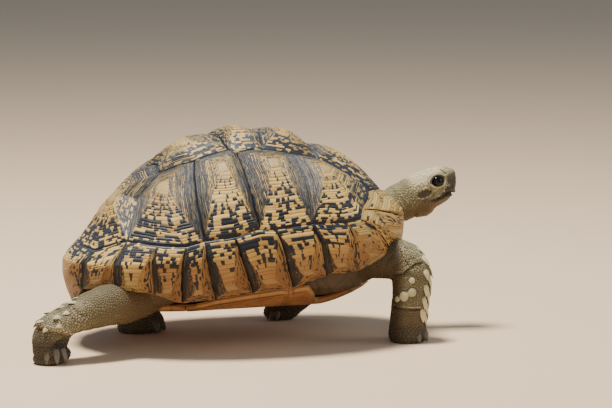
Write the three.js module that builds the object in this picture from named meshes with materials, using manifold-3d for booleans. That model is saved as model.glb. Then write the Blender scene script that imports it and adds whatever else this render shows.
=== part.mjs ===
// Leopard tortoise (Stigmochelys pardalis), adult, walking: a still model at life size.
// Horny plates cover a closed trunk. Neck, head, tail, legs, feet and eyes are bodies of their own.
// Millimetres, +Z up, head towards +X, right side towards -Y, soles on Z = 0.

import * as THREE from 'three';
import { mergeVertices } from 'three/addons/utils/BufferGeometryUtils.js';
import Module from 'manifold-3d';

// ---- The whole animal -------------------------------------------------------------------------

const FRAME_SHIFT_X = -3.4;   // puts the middle of the animal's length on X = 0
const GAP = 0.3;              // clearance kept between neighbouring bodies
const WELD = 1e-4;            // points closer than this are one point

// ---- Dome of the carapace, seen from its own centre --------------------------------------------

const DOME_CENTRE = new THREE.Vector3(5, 0, 101.5);
const SHELL_PITCH = 5.4;      // degrees, front end raised
const PITCH_PIVOT_Z = 100;
const DOME_FRONT = 164;
const DOME_REAR = 169;
const DOME_SIDE = 122;
const DOME_TOP = 107;
const PLAN_POWER_FRONT = 2.05;
const PLAN_POWER_REAR = 2.2;
const SLOPE_POWER_FRONT = 1.47;
const SLOPE_POWER_REAR = 1.17;
const SLOPE_POWER_SIDE = 1.78;
const SIDE_BLEND_FRONT = 2.8;
const SIDE_BLEND_REAR = 2.2;
const REAR_SWELL = 0.12;
const BRIDGE_TUCK = 0.3;       // share drawn inwards under the bridge
const BRIDGE_STEEPEST_COSINE = 0.3;
const FLARE_FRONT = 5;
const FLARE_REAR = 8;
const FLARE_HEIGHT_FRONT = 0; // degrees of height at which the rim flares most
const FLARE_HEIGHT_REAR = -7;
const FLARE_WIDTH_FRONT = 9;  // degrees of height over which the flare dies away
const FLARE_WIDTH_REAR = 13;

// ---- Plates -------------------------------------------------------------------------------------

const PLATE_THICKNESS = 6;
const RIM_THICKNESS = 14;     // marginals thicken towards the rim
const SEAM_GROOVE = 0.9;
const SEAM_STEP = 24;         // longest straight run along a seam
const TRUNK_CLEARANCE = 2;

// Seam corners: azimuth from the head, then height above the dome's centre, in degrees.
const V1_FRONT = [0, 9.5];
const V1_C1_FRONT = [24, 15];
const V1_V2 = [0, 51];
const V1_V2_C1 = [31, 40.5];
const V2_C1_C2 = [49, 49.5];
const V2_V3_C2 = [73.5, 58.5];
const V2_V3 = [0, 74.7];
const V3_C2_C3 = [101, 59];
const V3_V4_C3 = [109.5, 61.5];
const V3_V4 = [180, 82];
const V4_C3_C4 = [138, 51.5];
const V4_V5_C4 = [161, 41.5];
const V4_V5 = [180, 46.5];
const V5_C4 = [163.5, 26.5];
const C2_C3_RIM = [96, 11.3];

// Upper seam corners of the marginals, M1 to M11 and the supracaudal, front to rear.
const MARGINAL_TOP = [
  V1_FRONT, [40, 10.2], [45, 6.5], [53, 6.8], [70.3, 9.9], [88.5, 10.1], [108, 9],
  [120.6, 8.1], [128.6, 6.1], [139.7, 7], [153.5, 8.3], [167.3, 4.3], [180, 4.3],
];

// Corners along the free rim and the bridge, front to rear.
const RIM = [
  [0, 2.4], [14.5, 0.5], [29, -8.9], [47.8, -14.7], [63.6, -15.2], [80.6, -19.5], [101.8, -19],
  [119.2, -18.1], [132.2, -16.3], [141.2, -10.7], [154.9, -7.2], [169, -8], [180, -16],
];
const M2_TIP = [18, -9.3];

const VERTEBRALS = [
  { chain: [V1_FRONT, V1_C1_FRONT, V1_V2_C1, V1_V2], centre: [0, 33], boss: 9 },
  { chain: [V1_V2, V1_V2_C1, V2_C1_C2, V2_V3_C2, V2_V3], centre: [0, 61], boss: 9 },
  { chain: [V2_V3, V2_V3_C2, V3_C2_C3, V3_V4_C3, V3_V4], centre: [0, 87], boss: 4 },
  { chain: [V3_V4, V3_V4_C3, V4_C3_C4, V4_V5_C4, V4_V5], centre: [180, 63], boss: 8 },
  {
    chain: [V4_V5, V4_V5_C4, V5_C4, MARGINAL_TOP[10], MARGINAL_TOP[11], MARGINAL_TOP[12]],
    centre: [180, 25], boss: 10,
  },
];

const COSTALS = [
  {
    loop: [V1_C1_FRONT, MARGINAL_TOP[1], MARGINAL_TOP[2], MARGINAL_TOP[3], MARGINAL_TOP[4],
      V2_C1_C2, V1_V2_C1],
    centre: [42, 34], boss: 5,
  },
  {
    loop: [V2_C1_C2, MARGINAL_TOP[4], MARGINAL_TOP[5], C2_C3_RIM, V3_C2_C3, V2_V3_C2],
    centre: [75, 46], boss: 5,
  },
  {
    loop: [V3_C2_C3, C2_C3_RIM, MARGINAL_TOP[6], MARGINAL_TOP[7], V4_C3_C4, V3_V4_C3],
    centre: [113, 47], boss: 5,
  },
  {
    loop: [V4_C3_C4, MARGINAL_TOP[7], MARGINAL_TOP[8], MARGINAL_TOP[9], MARGINAL_TOP[10],
      V5_C4, V4_V5_C4],
    centre: [148, 34], boss: 5,
  },
];

const COSTAL_MARGINALS_FRONT = 1; // these marginals also meet a corner of the plates above
const COSTAL_MARGINALS_MIDDLE = 6;
const TIPPED_MARGINAL = 2;
const MARGINAL_COUNT = 11;
const MARGINAL_BOSS = 2;
const SUPRACAUDAL_BOSS = 5;

// ---- Plastron ------------------------------------------------------------------------------------

const PLASTRON_Z = 39;
const PLASTRON_THICKNESS = 7.5;
const BRIDGE_START_Y = 60;
const BRIDGE_EDGE_Y = 102;
const BRIDGE_POWER = 1.8;
const BRIDGE_RIM_Z = 62.4;    // underside of the marginals above the bridge, at X = 0
const BRIDGE_RIM_SLOPE = 0.094;
const LOBE_RISE_X = 70;       // the front lobe rises from here to its tip
const LOBE_TIP_X = 136;
const LOBE_RISE = 12;
const LOBE_POWER = 1.3;
const LOBE_BEYOND_TIP = 1.2;  // the rise goes on a little past the tip

// Each pair of plastron plates from the midline outwards: [x, half width] front to rear.
const PLASTRON = {
  plastron_gular: [[131, 0], [136, 15], [126, 27], [108, 42], [102, 0]],
  plastron_humeral: [[102, 0], [108, 42], [88, 54], [63, 64], [58, 0]],
  plastron_pectoral: [[58, 0], [63, 64], [55, 88], [44, 102], [24, 102], [30, 60], [34, 0]],
  plastron_abdominal: [[34, 0], [30, 60], [24, 102], [-14, 102], [-50, 100], [-64, 88],
    [-70, 66], [-52, 30], [-48, 0]],
  plastron_femoral: [[-48, 0], [-52, 30], [-70, 66], [-92, 60], [-106, 49], [-92, 0]],
  plastron_anal: [[-92, 0], [-106, 49], [-122, 36], [-130, 18], [-116, 0]],
};

// ---- Trunk ---------------------------------------------------------------------------------------

const TRUNK_SIDES = 28;
const TRUNK_ROWS = 19;
const FLOOR_HALVINGS = 40;
const SOCKET_DEPTH = 16;      // skin lies this far inside the rim at the limb openings
const SOCKET_FADE = 12;       // degrees below the rim over which it sinks in
const STEEPEST_COSINE = 0.05; // keeps the underside finite at the lower pole

// ---- Colours -------------------------------------------------------------------------------------

const HORN_YELLOW = new THREE.MeshStandardMaterial({ color: 0xb49a62, roughness: 0.5, metalness: 0 });
const HORN_BROWN = new THREE.MeshStandardMaterial({ color: 0xa4804c, roughness: 0.5, metalness: 0 });
const SKIN = new THREE.MeshStandardMaterial({ color: 0x7d7452, roughness: 0.75, metalness: 0 });
const SKIN_HEAD = new THREE.MeshStandardMaterial({ color: 0x75704a, roughness: 0.65, metalness: 0 });
const EYE_DARK = new THREE.MeshStandardMaterial({ color: 0x0c0a08, roughness: 0.12, metalness: 0 });

// ---- Dome surface --------------------------------------------------------------------------------

function planRadius(azimuth) {
  const along = Math.cos(azimuth);
  const reach = along > 0 ? DOME_FRONT : DOME_REAR;
  const power = along > 0 ? PLAN_POWER_FRONT : PLAN_POWER_REAR;
  const sum = Math.pow(Math.abs(along) / reach, power)
    + Math.pow(Math.abs(Math.sin(azimuth)) / DOME_SIDE, power);
  return Math.pow(sum, -1 / power);
}

function slopePower(azimuth) {
  const frontHalf = Math.cos(azimuth) > 0;
  const blend = Math.pow(Math.abs(Math.sin(azimuth)), frontHalf ? SIDE_BLEND_FRONT : SIDE_BLEND_REAR);
  const end = frontHalf ? SLOPE_POWER_FRONT : SLOPE_POWER_REAR;
  return end + (SLOPE_POWER_SIDE - end) * blend;
}

function domeRadius(azimuth, height) {
  const along = Math.cos(azimuth);
  const fromFlare = THREE.MathUtils.radToDeg(height) - (along > 0 ? FLARE_HEIGHT_FRONT : FLARE_HEIGHT_REAR);
  const flareWidth = along > 0 ? FLARE_WIDTH_FRONT : FLARE_WIDTH_REAR;
  const flare = (along > 0 ? FLARE_FRONT : FLARE_REAR) * along * along
    * Math.exp(-Math.pow(fromFlare / flareWidth, 2));
  const plan = planRadius(azimuth);
  if (height < 0) {
    const tuck = BRIDGE_TUCK * Math.pow(Math.sin(azimuth), 2) * Math.sin(-height);
    return plan / Math.max(Math.cos(height), BRIDGE_STEEPEST_COSINE) * (1 - tuck) + flare;
  }
  const power = slopePower(azimuth);
  const sum = Math.pow(Math.max(Math.cos(height), 1e-9) / plan, power)
    + Math.pow(Math.sin(height) / DOME_TOP, power);
  const swell = along < 0 ? REAR_SWELL * along * along * Math.pow(Math.sin(2 * height), 2) : 0;
  return Math.pow(sum, -1 / power) * (1 + swell) + flare;
}

function anglesOf(direction) {
  const unit = direction.clone().normalize();
  return [Math.atan2(unit.y, unit.x), Math.asin(THREE.MathUtils.clamp(unit.z, -1, 1))];
}

function directionOf([azimuth, height], side) {
  const turn = THREE.MathUtils.degToRad(azimuth) * side;
  const lift = THREE.MathUtils.degToRad(height);
  return new THREE.Vector3(
    Math.cos(lift) * Math.cos(turn), Math.cos(lift) * Math.sin(turn), Math.sin(lift));
}

// From the dome's own level frame to the standing animal.
function stand(point) {
  const pivot = new THREE.Vector3(0, 0, PITCH_PIVOT_Z);
  return point.clone().add(DOME_CENTRE).sub(pivot)
    .applyAxisAngle(new THREE.Vector3(0, -1, 0), THREE.MathUtils.degToRad(SHELL_PITCH)).add(pivot);
}

function onDome(direction, offset) {
  const [azimuth, height] = anglesOf(direction);
  return stand(direction.clone().setLength(domeRadius(azimuth, height) + offset));
}

// ---- Closed bodies from rows of rings ------------------------------------------------------------

// A sphere's rows and columns moved to the places that place(column, row) gives.
function shapedSphere(columns, rows, place) {
  const geometry = new THREE.SphereGeometry(1, columns, rows - 1);
  geometry.deleteAttribute('normal');
  geometry.deleteAttribute('uv');
  const position = geometry.attributes.position;
  for (let row = 0; row < rows; row += 1) {
    for (let column = 0; column <= columns; column += 1) {
      const point = place(column % columns, row);
      position.setXYZ(row * (columns + 1) + column, point.x, point.y, point.z);
    }
  }
  return mergeVertices(geometry, WELD);
}

// Points along a closed chain of corners; both plates at a seam get the same points.
function subdivide(corners, spacing) {
  const points = [];
  corners.forEach((corner, index) => {
    const next = corners[(index + 1) % corners.length];
    const steps = Math.max(1, Math.ceil(spacing(corner, next) / SEAM_STEP));
    for (let step = 0; step < steps; step += 1) {
      points.push(corner.clone().lerp(next, step / steps));
    }
  });
  return points;
}

function drawnIn(edge, centre, distance, size) {
  const away = edge.clone().sub(centre);
  return centre.clone().addScaledVector(away, 1 - distance / (away.length() * size));
}

// ---- Carapace plates -----------------------------------------------------------------------------

// Rings from the middle of a plate's outside, over its edge, to the middle of its inside.
const PLATE_ROWS = [
  { reach: 0, rise: 1, outer: true },
  { reach: 0.42, rise: 0.72, outer: true },
  { reach: 0.8, rise: 0.2, outer: true },
  { reach: 1, rise: 0, outer: true, groove: true },
  { reach: 1, rise: 0, outer: false },
  { reach: 0.5, rise: 0, outer: false },
  { reach: 0, rise: 0, outer: false },
];
const MARGINAL_ROWS = [
  { reach: 0, rise: 1, outer: true },
  { reach: 0.75, rise: 0.4, outer: true },
  { reach: 1, rise: 0, outer: true, groove: true },
  { reach: 1, rise: 0, outer: false },
  { reach: 0, rise: 0, outer: false },
];

function lineHeight(line, azimuth) {
  const turn = THREE.MathUtils.radToDeg(Math.abs(azimuth));
  for (let index = 1; index < line.length; index += 1) {
    if (turn <= line[index][0] + 1e-6) {
      const [fromTurn, fromHeight] = line[index - 1];
      const [toTurn, toHeight] = line[index];
      const share = (turn - fromTurn) / Math.max(toTurn - fromTurn, 1e-6);
      return THREE.MathUtils.degToRad(fromHeight + (toHeight - fromHeight) * share);
    }
  }
  return THREE.MathUtils.degToRad(line[line.length - 1][1]);
}

// How thick the horn is: even on top, thickening from the marginals' upper seam to the rim.
function plateDepth(direction) {
  const [azimuth, height] = anglesOf(direction);
  const top = lineHeight(MARGINAL_TOP, azimuth);
  const rim = lineHeight(RIM, azimuth);
  const share = THREE.MathUtils.clamp((top - height) / Math.max(top - rim, 1e-3), 0, 1);
  return PLATE_THICKNESS + (RIM_THICKNESS - PLATE_THICKNESS) * share;
}

// grow swells the plate on every side: negative half the gap for the plate itself.
function carapacePlate(corners, centre, boss, rows, grow) {
  const loop = subdivide(corners, (from, to) => onDome(from, 0).distanceTo(onDome(to, 0)));
  const middle = centre.clone();
  return shapedSphere(loop.length, rows.length, (column, row) => {
    const { reach, rise, outer, groove } = rows[row];
    const edge = drawnIn(loop[column], middle, -grow, DOME_TOP);
    const direction = middle.clone().lerp(edge, reach);
    const swell = Math.max(grow, 0);
    const offset = outer
      ? boss * rise - (groove ? SEAM_GROOVE : 0) + swell
      : -plateDepth(direction) - swell;
    return onDome(direction, offset);
  });
}

function mirrored(chain) {
  const right = chain.map((corner) => directionOf(corner, -1));
  const left = chain.slice(1, -1).reverse().map((corner) => directionOf(corner, 1));
  return right.concat(left).reverse();
}

function sideLoop(corners, side) {
  const loop = corners.map((corner) => directionOf(corner, side));
  return side < 0 ? loop.reverse() : loop;
}

function middleOf(directions) {
  const sum = new THREE.Vector3();
  directions.forEach((direction) => sum.add(direction));
  return sum.divideScalar(directions.length);
}

function marginalCorners(index) {
  const upper = [MARGINAL_TOP[index - 1]];
  if (index === COSTAL_MARGINALS_FRONT) {
    upper.push(V1_C1_FRONT);
  }
  if (index === COSTAL_MARGINALS_MIDDLE) {
    upper.push(C2_C3_RIM);
  }
  upper.push(MARGINAL_TOP[index]);
  const lower = [RIM[index]];
  if (index === TIPPED_MARGINAL) {
    lower.push(M2_TIP);
  }
  lower.push(RIM[index - 1]);
  return upper.concat(lower);
}

// ---- Plastron ------------------------------------------------------------------------------------

function plastronUnderside(x, y) {
  const out = THREE.MathUtils.clamp(
    (Math.abs(y) - BRIDGE_START_Y) / (BRIDGE_EDGE_Y - BRIDGE_START_Y), 0, 1);
  const edge = BRIDGE_RIM_Z + BRIDGE_RIM_SLOPE * x - PLASTRON_THICKNESS - GAP;
  const front = THREE.MathUtils.clamp((x - LOBE_RISE_X) / (LOBE_TIP_X - LOBE_RISE_X),
    0, LOBE_BEYOND_TIP);
  return PLASTRON_Z + (edge - PLASTRON_Z) * Math.pow(out, BRIDGE_POWER)
    + LOBE_RISE * Math.pow(front, LOBE_POWER);
}

const PLASTRON_ROWS = [
  { reach: 0, top: false },
  { reach: 0.6, top: false },
  { reach: 1, top: false, groove: true },
  { reach: 1, top: true },
  { reach: 0.6, top: true },
  { reach: 0, top: true },
];

function plastronPlate(chain, grow) {
  const right = chain.map(([x, y]) => new THREE.Vector3(x, -y, 0));
  const left = chain.slice(1, -1).reverse().map(([x, y]) => new THREE.Vector3(x, y, 0));
  const corners = right.concat(left);
  const loop = subdivide(corners, (from, to) => from.distanceTo(to));
  const middle = middleOf(corners);
  middle.y = 0;
  return shapedSphere(loop.length, PLASTRON_ROWS.length, (column, row) => {
    const { reach, top, groove } = PLASTRON_ROWS[row];
    const edge = drawnIn(loop[column], middle, -grow, 1);
    const swell = Math.max(grow, 0);
    const point = middle.clone().lerp(edge, reach);
    const lift = top ? PLASTRON_THICKNESS + swell : (groove ? SEAM_GROOVE : 0) - swell;
    return new THREE.Vector3(point.x, point.y, plastronUnderside(point.x, point.y) + lift);
  });
}

// ---- Trunk ---------------------------------------------------------------------------------------

function trunkFloor(point) {
  const onBridge = THREE.MathUtils.clamp(
    (Math.abs(point.y) - BRIDGE_START_Y) / (BRIDGE_EDGE_Y - BRIDGE_START_Y), 0, 1);
  return plastronUnderside(point.x, point.y) + PLASTRON_THICKNESS
    + GAP * 2 + TRUNK_CLEARANCE * onBridge;
}

function trunkSurface(direction, grow) {
  const [azimuth, height] = anglesOf(direction);
  const rim = lineHeight(RIM, azimuth);
  const centre = stand(new THREE.Vector3());
  let radius = domeRadius(azimuth, height) - plateDepth(direction) - TRUNK_CLEARANCE;
  if (height < rim) {
    const below = THREE.MathUtils.clamp((rim - height) / THREE.MathUtils.degToRad(SOCKET_FADE), 0, 1);
    const socket = SOCKET_DEPTH * Math.pow(Math.cos(azimuth), 2) * below;
    const across = domeRadius(azimuth, rim) * Math.cos(rim) - RIM_THICKNESS - TRUNK_CLEARANCE;
    radius = (across - socket) / Math.max(Math.cos(height), STEEPEST_COSINE);
  }
  const outermost = stand(direction.clone().setLength(radius + grow));
  if (outermost.z >= trunkFloor(outermost) - grow) {
    return outermost;
  }
  let inside = 0;
  let outside = 1;
  for (let halving = 0; halving < FLOOR_HALVINGS; halving += 1) {
    const half = (inside + outside) / 2;
    const point = centre.clone().lerp(outermost, half);
    if (point.z >= trunkFloor(point) - grow) {
      inside = half;
    } else {
      outside = half;
    }
  }
  return centre.clone().lerp(outermost, inside);
}

function trunkGeometry(grow) {
  return shapedSphere(TRUNK_SIDES, TRUNK_ROWS, (column, row) => {
    const turn = (column % TRUNK_SIDES) / TRUNK_SIDES * 360;
    const height = 90 - 180 * row / (TRUNK_ROWS - 1);
    return trunkSurface(directionOf([turn, height], 1), grow);
  });
}

// ---- Limbs, neck, head and tail ------------------------------------------------------------------

// A body swept along stations { at, wide, tall }: wide lies across the path, tall follows `up`.
// Only the run between stations first and end is made; trim pulls its cut end back.
function sweptBody(stations, sides, up, first = 0, end = stations.length - 1, trim = 0) {
  const centres = stations.map((station) => new THREE.Vector3(...station.at));
  const last = stations.length - 1;
  const across = [];
  const tall = [];
  centres.forEach((centre, index) => {
    const along = centres[Math.min(index + 1, last)].clone()
      .sub(centres[Math.max(index - 1, 0)]).normalize();
    const sideways = index === 0
      ? new THREE.Vector3().crossVectors(up, along)
      : across[index - 1].clone().projectOnPlane(along);
    across.push(sideways.normalize());
    tall.push(new THREE.Vector3().crossVectors(along, sideways));
  });
  if (trim > 0) {
    centres[end].addScaledVector(centres[end - 1].clone().sub(centres[end]).normalize(), trim);
  }
  const rows = end - first + 3;
  return shapedSphere(sides, rows, (column, row) => {
    const index = THREE.MathUtils.clamp(first + row - 1, first, end);
    if (row === 0 || row === rows - 1) {
      return centres[index].clone();
    }
    const turn = -column / sides * 2 * Math.PI;
    return centres[index].clone()
      .addScaledVector(across[index], stations[index].wide * Math.cos(turn))
      .addScaledVector(tall[index], stations[index].tall * Math.sin(turn));
  });
}

function onGround(geometry) {
  const position = geometry.attributes.position;
  for (let index = 0; index < position.count; index += 1) {
    position.setZ(index, Math.max(position.getZ(index), 0));
  }
  return mergeVertices(geometry, WELD);
}

const LIMB_SIDES = 12;
const UP = new THREE.Vector3(0, 0, 1);
const AHEAD = new THREE.Vector3(1, 0, 0);

// Stations from the body outwards; the foot begins at the station numbered footFrom.
const LEGS = {
  front_right: {
    up: AHEAD,
    footFrom: 5,
    path: [
      { at: [100, -42, 82], wide: 20, tall: 22 },
      { at: [124, -54, 82], wide: 20, tall: 21 },
      { at: [147, -67, 81], wide: 20, tall: 20 },
      { at: [159, -74, 68], wide: 19, tall: 20 },
      { at: [158, -77, 46], wide: 17, tall: 19.5 },
      { at: [156, -77, 24], wide: 17, tall: 19 },
      { at: [155.5, -77, 8], wide: 18, tall: 20 },
      { at: [155.5, -77, 0], wide: 17, tall: 20 },
    ],
  },
  hind_right: {
    up: UP,
    footFrom: 4,
    path: [
      { at: [-92, -46, 62], wide: 20, tall: 20 },
      { at: [-126, -62, 52], wide: 20, tall: 20 },
      { at: [-152, -72, 49], wide: 20, tall: 20 },
      { at: [-173, -79, 42.5], wide: 18.5, tall: 19.5 },
      { at: [-194, -84, 35], wide: 17.5, tall: 18 },
      { at: [-210, -86, 26], wide: 17, tall: 17 },
      { at: [-211, -86, 12], wide: 16, tall: 16 },
      { at: [-207, -86, 0], wide: 16, tall: 16.5 },
    ],
  },
  hind_left: {
    up: AHEAD,
    footFrom: 3,
    path: [
      { at: [-66, 44, 82], wide: 26, tall: 28 },
      { at: [-78, 54, 60], wide: 23, tall: 25 },
      { at: [-84, 58, 40], wide: 19, tall: 21 },
      { at: [-84, 58, 22], wide: 18, tall: 20 },
      { at: [-82, 58, 8], wide: 20, tall: 24 },
      { at: [-81, 58, 0], wide: 19, tall: 23 },
    ],
  },
  front_left: {
    up: UP,
    footFrom: 3,
    path: [
      { at: [108, 46, 82], wide: 20, tall: 22 },
      { at: [122, 62, 66], wide: 19, tall: 19 },
      { at: [118, 72, 48], wide: 17, tall: 18 },
      { at: [102, 78, 34], wide: 16, tall: 16 },
      { at: [84, 82, 20], wide: 16, tall: 14 },
      { at: [72, 83, 7], wide: 15, tall: 10 },
      { at: [68, 83, 0], wide: 13, tall: 6 },
    ],
  },
};

// The head's own frame: X ahead along the jaw, Z up, origin behind the ear drum.
const HEAD_AT = new THREE.Vector3(200, -6, 140);
const HEAD_PITCH = 19;
const HEAD_TURN = 9;
const HEAD_SIDES = 16;
const NECK_AND_HEAD = [
  { at: [-78, 0, -16], wide: 21, tall: 22 },
  { at: [-58, 0, -9], wide: 20.5, tall: 23.5 },
  { at: [-42, 0, -4], wide: 18, tall: 21 },
  { at: [-28, 0, -1.9], wide: 15.8, tall: 19.8 },
  { at: [-17, 0, -1], wide: 15.9, tall: 20.8 },
  { at: [-8, 0, -0.4], wide: 17.3, tall: 21.8 },
  { at: [2, 0, 0.6], wide: 18.2, tall: 21.5 },
  { at: [11, 0, 1.8], wide: 17.2, tall: 20.4 },
  { at: [19.5, 0, 2.1], wide: 14.8, tall: 18.3 },
  { at: [26, 0, 1.3], wide: 11.9, tall: 16.1 },
  { at: [30.5, 0, 0.5], wide: 9.2, tall: 13.1 },
  { at: [33.6, 0, -0.3], wide: 6.6, tall: 10 },
  { at: [34.8, 0, -0.6], wide: 3.8, tall: 7.4 },
];
const HEAD_FROM = 4;
const EYE_RADIUS = 6.3;
const EYE_AT = [13.8, 11.9, 8.5];
const EYE_SEGMENTS = 12;

const TAIL = [
  { at: [-106, 0, 72], wide: 12, tall: 11 },
  { at: [-124, 1, 65], wide: 10, tall: 9.5 },
  { at: [-136, 4, 56], wide: 7.5, tall: 7.5 },
  { at: [-142, 7, 48], wide: 5, tall: 5 },
  { at: [-144, 9, 41], wide: 2.5, tall: 2.5 },
];

// Claws fanned round each foot: from and to are headings in degrees, ring is how far out the middle
// of a claw lies, droop is how far its tip hangs. They are blunt cones let into the foot.
const CLAW_SIDES = 6;
const CLAW_RADIUS = 3.6;
const CLAW_BELLY = { along: 0.55, wide: 0.85, tall: 0.8 };
const CLAW_TIP = 0.3;         // tip radius as a share of the root's
const CLAWS = {
  front_right: { count: 5, centre: [156, -77, 6], ring: 16, from: -75, to: 65, droop: 4, length: 11 },
  hind_right: { count: 4, centre: [-207, -86, 8], ring: 14, from: -165, to: -40, droop: 6, length: 12 },
  hind_left: { count: 4, centre: [-81, 58, 6], ring: 20, from: -60, to: 60, droop: 4, length: 12 },
  front_left: { count: 5, centre: [73, 83, 5], ring: 9, from: 120, to: 240, droop: 4, length: 10 },
};

function clawGeometry(centre, turn, { ring, droop, length }) {
  const outwards = new THREE.Vector3(Math.cos(turn), Math.sin(turn), 0);
  const root = centre.clone().addScaledVector(outwards, ring - length / 2);
  const tip = centre.clone().addScaledVector(outwards, ring + length / 2);
  tip.z -= droop;
  const middle = root.clone().lerp(tip, CLAW_BELLY.along);
  const stations = [
    { at: root.toArray(), wide: CLAW_RADIUS, tall: CLAW_RADIUS },
    { at: middle.toArray(), wide: CLAW_RADIUS * CLAW_BELLY.wide, tall: CLAW_RADIUS * CLAW_BELLY.tall },
    { at: tip.toArray(), wide: CLAW_RADIUS * CLAW_TIP, tall: CLAW_RADIUS * CLAW_TIP },
  ];
  return onGround(sweptBody(stations, CLAW_SIDES, UP));
}

// ---- Joins and cuts ------------------------------------------------------------------------------

const wasm = await Module();
wasm.setup();

function asSolid(geometry) {
  const bare = mergeVertices(geometry, WELD);
  return new wasm.Manifold(new wasm.Mesh({
    numProp: 3,
    vertProperties: Float32Array.from(bare.attributes.position.array),
    triVerts: Uint32Array.from(bare.index.array),
  }));
}

function asGeometry(solid) {
  const mesh = solid.getMesh();
  const geometry = new THREE.BufferGeometry();
  geometry.setAttribute('position', new THREE.BufferAttribute(Float32Array.from(mesh.vertProperties), 3));
  geometry.setIndex(new THREE.BufferAttribute(Uint32Array.from(mesh.triVerts), 1));
  return geometry;
}

// ---- Assembly ------------------------------------------------------------------------------------

const tortoise = new THREE.Group();
tortoise.position.x = FRAME_SHIFT_X;
const keepClear = [];

function add(name, geometry, material, parent = tortoise) {
  const mesh = new THREE.Mesh(geometry, material.clone());
  mesh.name = name;
  parent.add(mesh);
  return mesh;
}

function addCarapacePlate(name, loop, centre, boss, rows) {
  add(name, carapacePlate(loop, centre, boss, rows, -GAP / 2), HORN_YELLOW);
  keepClear.push(asSolid(carapacePlate(loop, centre, boss, rows, GAP)));
}

VERTEBRALS.forEach(({ chain, centre, boss }, index) => {
  addCarapacePlate(`vertebral_${index + 1}`, mirrored(chain), directionOf(centre, 1), boss, PLATE_ROWS);
});

[['right', -1], ['left', 1]].forEach(([sideName, side]) => {
  COSTALS.forEach(({ loop, centre, boss }, index) => {
    const name = `costal_${sideName}_${index + 1}`;
    addCarapacePlate(name, sideLoop(loop, side), directionOf(centre, side), boss, PLATE_ROWS);
  });
  for (let index = 1; index <= MARGINAL_COUNT; index += 1) {
    const loop = sideLoop(marginalCorners(index), side).reverse();
    addCarapacePlate(
      `marginal_${sideName}_${index}`, loop, middleOf(loop), MARGINAL_BOSS, MARGINAL_ROWS);
  }
});

const supracaudalLoop = mirrored([MARGINAL_TOP[12], MARGINAL_TOP[11], RIM[11], RIM[12]]);
addCarapacePlate(
  'supracaudal', supracaudalLoop, middleOf(supracaudalLoop), SUPRACAUDAL_BOSS, MARGINAL_ROWS);

Object.entries(PLASTRON).forEach(([name, chain]) => {
  add(name, plastronPlate(chain, -GAP / 2), HORN_BROWN);
  keepClear.push(asSolid(plastronPlate(chain, GAP)));
});

function clearOfPlates(geometry) {
  return keepClear.reduce((solid, plate) => solid.subtract(plate), asSolid(geometry));
}

add('trunk', asGeometry(clearOfPlates(trunkGeometry(0))), SKIN);
const trunkClear = asSolid(trunkGeometry(GAP));

function clearOfBody(geometry) {
  return asGeometry(clearOfPlates(geometry).subtract(trunkClear));
}

Object.entries(LEGS).forEach(([name, { path, footFrom, up }]) => {
  const upper = sweptBody(path, LIMB_SIDES, up, 0, footFrom, GAP);
  add(`leg_${name}`, clearOfBody(upper), SKIN);
  const foot = onGround(sweptBody(path, LIMB_SIDES, up, footFrom));
  const claws = CLAWS[name];
  const solid = Array.from({ length: claws.count }, (_, index) => {
    const share = index / (claws.count - 1);
    const turn = THREE.MathUtils.degToRad(claws.from + (claws.to - claws.from) * share);
    return asSolid(clawGeometry(new THREE.Vector3(...claws.centre), turn, claws));
  }).reduce((whole, claw) => whole.add(claw), asSolid(foot));
  add(`foot_${name}`, asGeometry(solid), SKIN);
});

const headFrame = new THREE.Matrix4().compose(
  HEAD_AT,
  new THREE.Quaternion().setFromEuler(new THREE.Euler(
    0, -THREE.MathUtils.degToRad(HEAD_PITCH), -THREE.MathUtils.degToRad(HEAD_TURN), 'ZYX')),
  new THREE.Vector3(1, 1, 1));

function eyeGeometry(side, grow) {
  const eye = new THREE.SphereGeometry(EYE_RADIUS + grow, EYE_SEGMENTS, EYE_SEGMENTS / 2);
  eye.deleteAttribute('normal');
  eye.deleteAttribute('uv');
  eye.translate(EYE_AT[0], EYE_AT[1] * side, EYE_AT[2]);
  return mergeVertices(eye, WELD).applyMatrix4(headFrame);
}

const headGeometry = sweptBody(NECK_AND_HEAD, HEAD_SIDES, UP, HEAD_FROM).applyMatrix4(headFrame);
const headSolid = [-1, 1].reduce(
  (solid, side) => solid.subtract(asSolid(eyeGeometry(side, GAP))), asSolid(headGeometry));
add('head', asGeometry(headSolid), SKIN_HEAD);
add('eye_right', eyeGeometry(-1, 0), EYE_DARK);
add('eye_left', eyeGeometry(1, 0), EYE_DARK);

const neckGeometry = sweptBody(NECK_AND_HEAD, HEAD_SIDES, UP, 0, HEAD_FROM, GAP).applyMatrix4(headFrame);
add('neck', clearOfBody(neckGeometry), SKIN);
add('tail', clearOfBody(sweptBody(TAIL, LIMB_SIDES, UP)), SKIN);

export default tortoise;
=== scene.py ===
import itertools
import math

import bpy
import numpy as np
from bpy.props import FloatProperty, FloatVectorProperty, PointerProperty
from mathutils import Matrix, Vector
from mathutils.bvhtree import BVHTree
from mathutils.kdtree import KDTree


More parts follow.
